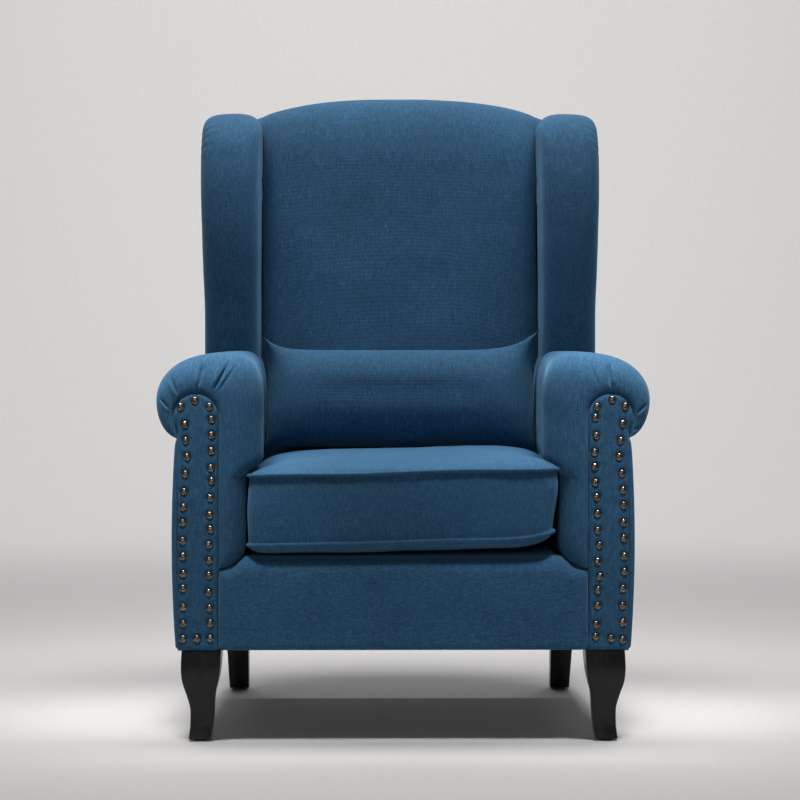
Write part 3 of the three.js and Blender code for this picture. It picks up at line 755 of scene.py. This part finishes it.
def make_outside_arm(side):
    """The arm's outside panel: wrapped round the front corner, tucked under the roll and the base."""
    outer = FACING_OUTER - 2.6
    rear = SIDE_HIGH[1]
    corner = arc((outer - 7.5, FRONT + 11.5), 7.5, 180 + 78, 360, 14)
    path = np.vstack([[[outer - 8.6, FRONT + 22]], [[outer - 9.0, FRONT + 8]], corner,
                      [[outer, FRONT + 60]], [[outer, rear]]])
    front_part = resampled(path[:-1], 40)
    side_part = resampled(path[-2:], 90)[1:]
    section = np.vstack([front_part, side_part])
    top = NECK_Z + 3
    heights = np.linspace(BODY_BOTTOM, top, 120)
    grid = []
    for z in heights:
        turn_under = 5.0 * (1 - smoothstep(0, 7, z - BODY_BOTTOM)) ** 2
        tuck = 5.5 * np.exp(-(top - z) / 5.0)
        belly = 6.5 * math.sin(math.pi * (z - BODY_BOTTOM) / (top - BODY_BOTTOM)) ** 0.8
        x = section[:, 0] - turn_under - tuck + belly
        x = x - 1.5 * smoothstep(rear - 30, rear, section[:, 1])
        grid.append(np.stack([narrowed(x, section[:, 1]), section[:, 1], np.full(len(section), z)], axis=1))
    grid = np.array(grid)
    lean = back_y(PANEL_OFFSET - SIDE_SETBACK, grid[..., 2])
    grid[..., 1] = FRONT + (grid[..., 1] - FRONT) * (lean - FRONT) / (rear - FRONT)
    grid[..., 0] += lumps(grid, 120, 41) * smoothstep(FRONT + 20, FRONT + 80, grid[..., 1])
    grid[..., 0] *= SIDES[side]
    panel = grid_piece(f"{side}_outside_arm", grid)
    dress(panel, linen_side, replaces=[f"{side}_outside_arm_panel"])


# ---------------------------------------------------------------- wings
def wing_nose(count):
    """The wing's outermost edge in (y, z): up its front, over the top and back to the crest."""
    front, top = WING_LOW[1] + 2.8, WING_HIGH[2]
    pieces = [
        bezier((front + 4, 560), (front - 6, 700), (front - 2, 850), (front + 34, top - 80)),
        bezier((front + 34, top - 80), (front + 50, top - 34), (front + 84, top - 1), (front + 136, top)),
        bezier((front + 136, top), (front + 190, top), (front + 230, top - 1), (368, top - 3)),
    ]
    return resampled(np.vstack(pieces), count)


def outward_of(line):
    """A unit vector square to a (y, z) line at each of its points, away from the wing."""
    tangent = np.gradient(line, axis=0)
    tangent /= np.linalg.norm(tangent, axis=1, keepdims=True)
    return np.stack([-tangent[:, 1], tangent[:, 0]], axis=1)


# pleats over each wing's top: (share of the way along its edge, strength)
WING_PLEATS = [(0.585, 0.8), (0.612, 1.0), (0.640, 1.1), (0.668, 0.9), (0.700, 0.6)]


def make_wing(side):
    """A thick rounded wing: one skin from the crease by the back, round the front, to its outside seam."""
    rows = 260
    nose = wing_nose(rows)
    outward = outward_of(nose)
    inner, outer = SEAT_HALF + 0.8, WING_HIGH[0] + 7.0
    centre, half = (inner + outer) / 2, (outer - inner) / 2
    grid = []
    for i in range(rows):
        y, z = nose[i]
        nose_depth = 44.0 - 12.0 * smoothstep(930, 1010, z)
        deep = back_y(BACK_OFFSET + 34, z)
        taper_out = 9.0 * smoothstep(940, 620, z)
        points = []
        # inner face, from the crease forward to where the nose begins
        away = float(np.clip(deep - y, 80.0, 150.0)) + 30.0 * smoothstep(900, 980, z)
        for t in np.linspace(0, 1, 26)[:-1]:
            depth = away + (nose_depth - away) * t
            points.append((inner + 0.5, depth))
        for a in np.linspace(math.pi, 0, 60):
            points.append((centre + half * math.copysign(abs(math.cos(a)) ** 0.70, math.cos(a)),
                           nose_depth * (1 - math.sin(a) ** 0.70)))
        for t in np.linspace(0, 1, 6)[1:]:
            points.append((outer - 2.0 * t - 1.0 * t * t, nose_depth + 10 * t))
        points = np.array(points)
        x = points[:, 0] - taper_out * (points[:, 0] - inner) / (outer - inner)
        offset = points[:, 1]
        grid.append(np.stack([x, y - outward[i, 0] * offset, z - outward[i, 1] * offset], axis=1))
    grid = np.array(grid)
    across = np.linspace(0, 1, grid.shape[1])[None, :]
    up = np.linspace(0, 1, rows)[:, None]
    crease = np.zeros(grid.shape[:2])
    for place, strength in WING_PLEATS:
        apart = (up - place) * 900.0
        fold = np.where(apart > 0, np.exp(-apart / 5.0), np.exp(apart / 1.5))
        crease += 2.6 * strength * fold * smoothstep(0.66, 0.84, across)
    surface = normals_of(grid)
    surface *= np.sign((surface * (grid - [centre, WING_HIGH[1], 800.0])).sum(axis=2).mean())
    swell = lumps(grid, 100, 51) + lumps(grid, 40, 52) * 0.4
    grid += surface * (swell - crease)[..., None]
    grid[..., 0] = np.maximum(grid[..., 0], inner)
    # its top runs back only as far as the chair's rear
    grid[..., 1] = np.minimum(grid[..., 1], back_y(PANEL_OFFSET - 6, grid[..., 2]))
    grid = with_end_cap(grid, np.array([centre, 0.0, WING_HIGH[2] - 40.0]))
    grid[..., 0] *= SIDES[side]
    wing = grid_piece(f"{side}_wing", grid)
    dress(wing, linen_front, replaces=[f"{side}_wing_pad"])


def with_turned_rim(grid, depth):
    """The grid of a side panel with one more row all round, turned in towards the chair's middle."""
    grid = np.pad(grid, ((1, 1), (1, 1), (0, 0)), mode="edge")
    for rim in (grid[0], grid[-1], grid[:, 0], grid[:, -1]):
        rim[:, 0] -= depth
    return grid


def make_outside_wing(side):
    """The wing's outside panel, inside the padded edge, from the arm to the crest."""
    low, high = node_box(f"{side}_outside_wing_panel")
    outer = max(abs(low[0]), abs(high[0])) + 1.5
    nose = wing_nose(140)
    border = nose - outward_of(nose) * 40.0
    grid = []
    for y, z in border:
        rear = back_y(PANEL_OFFSET - SIDE_SETBACK, z)
        t = np.linspace(0, 1, 60)
        line_y = y + (np.maximum(rear, y + 1) - y) * t
        edge = np.minimum(t, 1 - t) * max(1.0, rear - y)
        x = outer - 2.0 * np.exp(-edge / 5.0) - 3.5 * smoothstep(900, 620, z)
        grid.append(np.stack([x, line_y, np.full(60, z)], axis=1))
    grid = np.array(grid)
    grid[..., 0] += lumps(grid, 110, 61) * 0.8
    grid = with_turned_rim(grid, 6.0)
    grid[..., 0] *= SIDES[side]
    panel = grid_piece(f"{side}_outside_wing", grid)
    dress(panel, linen_side, replaces=[f"{side}_outside_wing_panel"])


# ---------------------------------------------------------------- seat
def make_apron():
    """The fixed front of the seat: soft at its top edge, lower where it runs under the arms."""
    columns = 240
    half = APRON_HIGH[0] + 0.4
    x = half * np.linspace(-1, 1, columns)
    lower = [(26, BODY_BOTTOM + 3), (8, BODY_BOTTOM + 0.5), (1.5, BODY_BOTTOM + 5), (0.4, BODY_BOTTOM + 20)]
    upper = [(-1.6, 215), (0, 254), (3.5, 270), (12, 281), (26, 285), (48, 286)]
    profile = spline([(FRONT + behind, z) for behind, z in lower + upper], 90)
    low_end = 1 - smoothstep(243, 266, np.abs(x))
    grid = []
    for y, z in profile:
        share = (z - BODY_BOTTOM) / (APRON_HIGH[2] - BODY_BOTTOM)
        lifted = z - (1 - low_end) * 15.0 * share ** 2
        puff = -2.0 * np.exp(-((np.abs(x) - 262) / 14) ** 2) * smoothstep(0.5, 0.9, share)
        edge = 4.0 * np.exp(-(half - np.abs(x)) / 2.5)
        grid.append(np.stack([x, y + puff + edge, lifted], axis=1))
    grid = np.array(grid)
    above_hem = smoothstep(BODY_BOTTOM, BODY_BOTTOM + 25, grid[..., 2])
    grid[..., 1] += lumps(grid * [1, 1, 1.6], 120, 71) * 1.2 * above_hem
    apron = grid_piece("front_border", grid)
    dress(apron, linen_border, replaces=["front_apron"])


def make_deck():
    """The cloth deck that the loose cushion lies on; it runs a little way under the arms."""
    under_arm = 5.0
    half = DECK_HIGH[0] + under_arm
    x = np.linspace(-half, half, 90)
    y = np.linspace(DECK_LOW[1], DECK_HIGH[1], 90)
    gx, gy = np.meshgrid(x, y)
    edge = np.minimum(half - np.abs(gx), np.minimum(gy - DECK_LOW[1], DECK_HIGH[1] - gy))
    z = DECK_HIGH[2] + 0.8 - 7.0 * np.exp(-edge / 6.0)
    grid = np.stack([narrowed(gx, gy), gy, z], axis=2)
    grid[..., 2] += lumps(grid, 60, 81) * 0.8
    deck = grid_piece("seat_platform", grid)
    dress(deck, linen_front, replaces=["seat_deck"])


# ---------------------------------------------------------------- loose seat cushion
CUSHION_CORNER = 26.0
WELT_RADIUS = 3.3
CORNER_TUCK = 8.0              # how far the lower right front corner is drawn in


def cushion_outline(count, inset=0.0):
    """The cushion's plan, a rectangle with rounded corners, from the middle of its rear edge."""
    half = SEAT_HIGH[0] - 1.5 - inset
    front, rear = SEAT_LOW[1] + inset, SEAT_HIGH[1] - inset
    r = CUSHION_CORNER - inset * 0.4
    corners = [((half - r, rear - r), 90, 0), ((half - r, front + r), 0, -90),
               ((-half + r, front + r), -90, -180), ((-half + r, rear - r), 180, 90)]
    line = np.vstack([[[0.0, rear]]] + [arc(c, r, a, b, 16) for c, a, b in corners] + [[[0.0, rear]]])
    return resampled(line, count, closed=True)


def lower_front_corner(x, y, z):
    """1 at the cushion's lower right front corner, falling to 0 away from it."""
    return np.clip((x - 130) / 110, 0, 1) ** 2.5 * smoothstep(-240, FRONT + 10, y) * smoothstep(400, 300, z)


def cushion_lift(x, y, z):
    """The cushion lies a little higher on its right, and its lower right front corner is turned up."""
    return 6.0 * x / 243.0 + 11.0 * lower_front_corner(x, y, z)


def zip_channel(grid):
    """Sets the cushion's rear face back along the zip, so that its slider runs clear of the cloth."""
    x, y, z = grid[..., 0], grid[..., 1], grid[..., 2]
    reach = max(abs(ZIP_LOW[0]), abs(ZIP_HIGH[0])) + 5.0
    past_z = np.maximum(np.maximum(SLIDER_LOW[2] - 5.0 - z, z - SLIDER_HIGH[2] - 5.0), 0)
    past_x = np.maximum(np.abs(x) - reach, 0)
    near = (1 - smoothstep(0, 8, past_z)) * (1 - smoothstep(0, 8, past_x))
    excess = np.maximum(0, y - (SLIDER_LOW[1] - 0.6))
    grid[..., 1] = y - excess * near


def make_seat_cushion():
    """A box cushion: crowned top and bottom, a boxing strip between two piped seams."""
    count = 360
    outline = cushion_outline(count)
    centre = np.array([0.0, (SEAT_LOW[1] + SEAT_HIGH[1]) / 2])
    top_seam, bottom_seam = 417.0, 309.5
    crown, belly = SEAT_HIGH[2] - top_seam - 1.0, bottom_seam - SEAT_LOW[2] - 1.5
    rows = []
    inner_steps = np.concatenate([np.linspace(0.012, 0.9, 54), np.linspace(0.9, 1, 16)[1:]])

    def panel_row(share, seam, height, sign):
        line = centre + (outline - centre) * share
        drop = share ** (4.6 if sign > 0 else 9.0)
        z = seam + sign * height * (1 - drop) ** (0.66 if sign > 0 else 0.55)
        return np.stack([line[:, 0], line[:, 1], np.full(count, z)], axis=1)

    for share in inner_steps:
        rows.append(panel_row(share, bottom_seam, belly, -1))
    away = outline - centre
    away /= np.linalg.norm(away, axis=1, keepdims=True)
    for t in np.linspace(0, 1, 34)[1:-1]:
        line = outline + away * (3.8 * math.sin(math.pi * t) ** 0.6 - 3.0)
        z = np.full(count, bottom_seam + (top_seam - bottom_seam) * t)
        rows.append(np.stack([line[:, 0], line[:, 1], z], axis=1))
    for share in inner_steps[::-1]:
        rows.append(panel_row(share, top_seam, crown, 1))
    grid = np.array(rows)
    tuck = CORNER_TUCK * lower_front_corner(grid[..., 0], grid[..., 1], grid[..., 2])
    grid[..., 2] += cushion_lift(grid[..., 0], grid[..., 1], grid[..., 2])
    grid[..., 0] -= tuck
    # the rear face stays flat for the zip
    calm = smoothstep(0, 40, SEAT_HIGH[1] - grid[..., 1])
    swell = (lumps(grid, 90, 91) * 1.8 + lumps(grid, 30, 92) * 0.45) * calm
    grid += normals_of(np.concatenate([grid, grid[:, :1]], axis=1))[:, :-1] * swell[..., None]
    # its underside settles softly on the deck
    settle = SEAT_LOW[2] + 3.2
    below = settle - grid[..., 2]
    grid[..., 2] = np.where(below > 0, settle - 3 * np.tanh(below / 3), grid[..., 2])
    zip_channel(grid)
    grid[..., 0] = narrowed(grid[..., 0], grid[..., 1])
    cushion = grid_piece("seat_cushion", grid, wrap=True)
    dress(cushion, linen_front, "seat_cushion",
          replaces=["seat_cushion_cover", "seat_cushion_core"])
    line = cushion_outline(count, inset=-0.4)
    for name, seam, waviness in (("top", top_seam, 1.0), ("bottom", bottom_seam, 0.6)):
        z = seam + cushion_lift(line[:, 0], line[:, 1], seam)
        x = line[:, 0] - CORNER_TUCK * lower_front_corner(line[:, 0], line[:, 1], seam)
        path = np.stack([narrowed(x, line[:, 1]), line[:, 1], z], axis=1)
        path[:, 2] += waviness * np.sin(np.linspace(0, 14 * math.pi, count))
        piping = tube(f"{name}_piping", path, WELT_RADIUS)
        dress(piping, linen_front, "seat_cushion")


def make_zip():
    """The zip's tape, along the cushion's rear."""
    x = np.linspace(ZIP_LOW[0], ZIP_HIGH[0], 60)
    z = np.linspace(ZIP_LOW[2] - 3, ZIP_HIGH[2] + 3, 9)
    gx, gz = np.meshgrid(x, z)
    gy = SEAT_HIGH[1] + 0.2 + 0.5 * np.sin((gz - ZIP_LOW[2]) / (ZIP_HIGH[2] - ZIP_LOW[2]) * math.pi)
    grid = np.stack([gx, gy, gz + cushion_lift(gx, gy, gz)], axis=2)
    tape = grid_piece("zip_tape", grid)
    dress(tape, SLOT_LOOKS["zip_tape"], "seat_cushion", replaces=["seat_cushion_zip"])


# ---------------------------------------------------------------- loose lumbar pillow
PILLOW_DEPTH = 118.0
PILLOW_HALF = 229.0
PILLOW_RISE, PILLOW_FALL = 79.0, 97.0     # its middle's top and bottom edges, from its centre


def make_pillow():
    """A knife-edge pillow: two panels sewn round their edges, then settled as cloth under pressure."""
    columns, rows = 120, 56
    u, v = np.meshgrid(np.linspace(-1, 1, columns), np.linspace(-1, 1, rows))
    up, down = np.maximum(v, 0), np.maximum(-v, 0)
    x = u * (PILLOW_HALF + 15 * up ** 6 + 5 * down ** 6)
    ear = np.where(u > 0, 30 * np.abs(u) ** 7, 22 * np.abs(u) ** 14)
    z = v * np.where(v > 0, PILLOW_RISE + ear, PILLOW_FALL + 4 * np.abs(u) ** 10)
    across = (1 - np.abs(u) ** 6.5) ** 0.55
    upward = (1 - up ** 2.3) ** 0.60 * (1 - down ** 3.0) ** 0.55
    gathers = np.sin(v * 33 + 5 * np.sin(7 * v) + 3 * u) * np.exp(-(1 - np.abs(u)) * PILLOW_HALF / 7)
    half_thick = (PILLOW_DEPTH / 2) * across * upward * (1 + 0.22 * gathers)
    forward = -30 * np.abs(u) ** 10 * up ** 3
    layers = [np.stack([x, face * half_thick + forward, z], axis=2).reshape(-1, 3)
              for face in (-1, 1)]
    faces = []
    for layer in (0, 1):
        base = layer * rows * columns
        for i in range(rows - 1):
            for j in range(columns - 1):
                quad = (base + i * columns + j, base + i * columns + j + 1,
                        base + (i + 1) * columns + j + 1, base + (i + 1) * columns + j)
                faces.append(quad if layer == 0 else quad[::-1])
    pillow = mesh_piece("lumbar_pillow", np.vstack(layers), faces)
    finish_mesh(pillow, close=False)
    inflate(pillow, pressure=2.0, frames=10, stiffness=15.0)
    ease_middle(pillow)
    place_pillow(pillow)
    dress(pillow, linen_front, "lumbar_pillow",
          replaces=["lumbar_pillow_cover", "lumbar_pillow_fill"])


def inflate(piece, pressure, frames, stiffness):
    """Runs a cloth simulation with inner pressure and no gravity, and keeps its last shape."""
    scene = bpy.context.scene
    cloth = piece.modifiers.new("cloth", "CLOTH")
    settings = cloth.settings
    settings.quality = 7
    settings.mass = 0.25
    settings.tension_stiffness = stiffness
    settings.compression_stiffness = stiffness
    settings.shear_stiffness = stiffness * 0.6
    settings.bending_stiffness = 0.35
    settings.use_pressure = True
    settings.uniform_pressure_force = pressure
    settings.effector_weights.gravity = 0
    settings.air_damping = 2.0
    cloth.collision_settings.use_collision = False
    cloth.point_cache.frame_start, cloth.point_cache.frame_end = 1, frames
    scene.frame_start, scene.frame_end = 1, frames
    for number in range(1, frames + 1):
        scene.frame_set(number)
    with_modifiers_applied(piece)
    scene.frame_set(1)


def ease_middle(pillow):
    """Takes the buckles out of the middle of both panels and leaves the gathers along the seams."""
    group = pillow.vertex_groups.new(name="middle")
    for vertex in pillow.data.vertices:
        u, v = abs(vertex.co.x) / (PILLOW_HALF * MM), abs(vertex.co.z) / (PILLOW_FALL * MM)
        weight = (1 - min(u, 1) ** 8) * (1 - min(v, 1) ** 6)
        group.add([vertex.index], weight, "REPLACE")
    smooth = pillow.modifiers.new("ease", "SMOOTH")
    smooth.factor, smooth.iterations, smooth.vertex_group = 0.5, 90, "middle"
    with_modifiers_applied(pillow)


def place_pillow(pillow):
    """Smooths the pillow and stands it on the seat cushion, leaning on the back."""
    subdivide = pillow.modifiers.new("fine", "SUBSURF")
    subdivide.levels = subdivide.render_levels = 1
    with_modifiers_applied(pillow)
    co = np.array([v.co for v in pillow.data.vertices]) / MM
    co[:, 1] *= PILLOW_DEPTH / np.ptp(co[:, 1])
    lean = math.radians(14)
    middle = (PILLOW_LOW + PILLOW_HIGH) / 2
    y = middle[1] + co[:, 1] * math.cos(lean) + co[:, 2] * math.sin(lean)
    z = middle[2] - 7 - co[:, 1] * math.sin(lean) + co[:, 2] * math.cos(lean)
    # the arms press its sides in
    limit = 231.5 + 17 * smoothstep(588, 618, z)
    x = np.sign(co[:, 0]) * np.minimum(np.abs(co[:, 0]), limit)
    placed = np.stack([x, y, z], axis=1) * MM
    pillow.data.vertices.foreach_set("co", placed.astype(np.float32).ravel())
    for polygon in pillow.data.polygons:
        polygon.use_smooth = True
    pillow.data.update()


# ---------------------------------------------------------------- legs
def square_leg(name, heights, section, node):
    """A leg with a square section and softened edges; section(z) gives x0, x1, y0, y1."""
    r = 2.2
    rings = []
    for z in heights:
        x0, x1, y0, y1 = section(z)
        corners = [((x1 - r, y1 - r), 0, 90), ((x0 + r, y1 - r), 90, 180),
                   ((x0 + r, y0 + r), 180, 270), ((x1 - r, y0 + r), 270, 360)]
        ring = np.vstack([arc(c, r, a, b, 5) for c, a, b in corners])
        rings.append(np.column_stack([ring, np.full(len(ring), z)]))
    leg = grid_piece(name, np.array(rings), wrap=True)
    leg.data.set_sharp_from_angle(angle=math.radians(50))
    dress(leg, black, replaces=[node])


LEG_FOOT, LEG_TOP = 4.0, 141.6
# the cabriole's two edges as (z, x)
FRONT_LEG_OUTER = [(LEG_FOOT, 332), (16, 330.5), (28, 329.6), (48, 329.5), (60, 331.5), (74, 335.5),
                   (92, 341), (108, 343), (122, 343), (LEG_TOP, 342)]
FRONT_LEG_INNER = [(LEG_FOOT, 298), (18, 295.5), (30, 294.2), (48, 293), (70, 291.8), (86, 288.5),
                   (104, 284.5), (122, 282.2), (LEG_TOP, 281)]


def front_leg(side):
    """A cabriole leg, sawn with the same S-shaped profile from the front and from the side."""
    outer = spline(FRONT_LEG_OUTER, 90)
    inner = spline(FRONT_LEG_INNER, 90)

    def section(z):
        x1 = np.interp(z, outer[:, 0], outer[:, 1])
        x0 = np.interp(z, inner[:, 0], inner[:, 1])
        y0 = FRONT_LEG_LOW[1] + FRONT_LEG_HIGH[0] - x1
        y1 = FRONT_LEG_LOW[1] + FRONT_LEG_HIGH[0] - x0
        ends = sorted((SIDES[side] * x0, SIDES[side] * x1))
        return ends[0], ends[1], y0, y1

    heights = np.linspace(FRONT_LEG_LOW[2], FRONT_LEG_HIGH[2], 70)
    square_leg(f"{side}_front_foot", heights, section, f"{side}_front_leg")


def raked_edge(top, bend, foot, bend_z):
    """A leg's edge from its top to its foot as a curve of (y, z) with one bend."""
    t = np.linspace(0, 1, 40)
    y = (1 - t) ** 2 * top + 2 * t * (1 - t) * bend + t ** 2 * foot
    z = (1 - t) ** 2 * LEG_TOP + 2 * t * (1 - t) * bend_z + t ** 2 * LEG_FOOT
    return np.stack([y, z], axis=1)[::-1]


def rear_leg(side):
    """A plain leg that rakes back and tapers."""
    front_edge = raked_edge(top=146, bend=176, foot=222, bend_z=80)
    rear_edge = raked_edge(top=198, bend=218, foot=254, bend_z=86)
    middle = (REAR_LEG_LOW[0] + REAR_LEG_HIGH[0]) / 2

    def section(z):
        half = 17.0 + 3.5 * (z - LEG_FOOT) / (LEG_TOP - LEG_FOOT)
        y0 = np.interp(z, front_edge[:, 1], front_edge[:, 0])
        y1 = np.interp(z, rear_edge[:, 1], rear_edge[:, 0])
        centre = SIDES[side] * middle
        return centre - half, centre + half, y0, y1

    heights = np.linspace(REAR_LEG_LOW[2], REAR_LEG_HIGH[2], 50)
    square_leg(f"{side}_rear_foot", heights, section, f"{side}_rear_leg")


# ---------------------------------------------------------------- stage
def make_stage():
    """A plain pale floor that curves up into a backdrop."""
    depth, height, radius, reach = 6500.0, 6000.0, 2500.0, 9000.0
    y = [-reach, depth - radius]
    z = [0.0, 0.0]
    for a in np.linspace(0, math.pi / 2, 24)[1:]:
        y.append(depth - radius + radius * math.sin(a))
        z.append(radius * (1 - math.cos(a)))
    y.append(depth)
    z.append(height)
    grid = np.array([[(px, py, pz) for px in (-reach, reach)] for py, pz in zip(y, z)])
    floor = grid_piece("stage_floor", grid, close=False)
    n = Nodes("pale_floor")
    grain = n.noise(90, 3)
    n.colour(grain, [(0.3, (0.60, 0.585, 0.58)), (0.7, (0.63, 0.615, 0.61))])
    n.settings(Roughness=0.9)
    floor.data.materials.append(n.material)


def put_light(name, kind, place, aim, power):
    """A light of one kind at a place, turned towards its aim; returns its settings."""
    data = bpy.data.lights.new(name, kind)
    data.energy = power
    light = bpy.data.objects.new(name, data)
    bpy.context.scene.collection.objects.link(light)
    light.location = place
    light.rotation_euler = (Vector(aim) - Vector(place)).to_track_quat("-Z", "Y").to_euler()
    return data


def area_light(name, place, aim, size, power, colour=(1, 1, 1)):
    """A soft rectangular light."""
    data = put_light(name, "AREA", place, aim, power)
    data.shape = "RECTANGLE"
    data.size, data.size_y = size
    data.color = colour
    return data


def arm_light(side):
    """A narrow soft-edged light above the front of one arm."""
    place = (SIDES[side] * 0.42, -0.75, 1.75)
    data = put_light(f"{side}_arm_light", "SPOT", place, (SIDES[side] * 0.31, -0.33, 0.60), power=120)
    data.spot_size = math.radians(28)
    data.spot_blend = 1.0
    data.shadow_soft_size = 0.16


def make_lights():
    """Soft light from overhead, a weaker one from the front, one for the backdrop and one for each arm."""
    warm, cool = (1.0, 0.99, 0.98), (0.98, 0.99, 1.0)
    overhead = area_light("overhead", (0.0, 0.0, 2.7), (0.0, 0.0, 0.0), (2.0, 0.7), 23, warm)
    overhead.spread = math.radians(90)
    area_light("front_fill", (-0.5, -4.6, 1.5), (0.0, 0.0, 0.5), (2.6, 1.8), 22, cool)
    area_light("backdrop_light", (0.0, 3.0, 4.2), (0.0, 5.6, 1.3), (7.0, 0.8), 245)
    for side in SIDES:
        arm_light(side)
    world = bpy.data.worlds.new("pale_world")
    world.use_nodes = True
    background = world.node_tree.nodes["Background"]
    background.inputs["Color"].default_value = (0.84, 0.84, 0.86, 1)
    background.inputs["Strength"].default_value = 0.10
    bpy.context.scene.world = world
    bpy.context.scene.view_settings.view_transform = "Standard"


def make_camera():
    """Straight ahead of the chair, a little to its left, at the height of its arms."""
    data = bpy.data.cameras.new("camera")
    data.sensor_width = 36.0
    data.lens = 111.9
    camera = bpy.data.objects.new("camera", data)
    bpy.context.scene.collection.objects.link(camera)
    camera.location = (-0.045, -4.19, 0.612)
    down, right = math.radians(1.250), math.radians(0.595)
    camera.rotation_euler = (math.pi / 2 - down, 0, -right)
    bpy.context.scene.camera = camera


dress_cad_nodes()
make_back_pad()
make_back_panel()
for side in SIDES:
    nails = nail_places(side)
    make_arm_pad(side)
    make_facing(side, nails)
    make_nails(side, nails)
    make_outside_arm(side)
    make_wing(side)
    make_outside_wing(side)
    front_leg(side)
    rear_leg(side)
make_apron()
make_deck()
make_seat_cushion()
make_zip()
make_pillow()
make_stage()
make_lights()
make_camera()
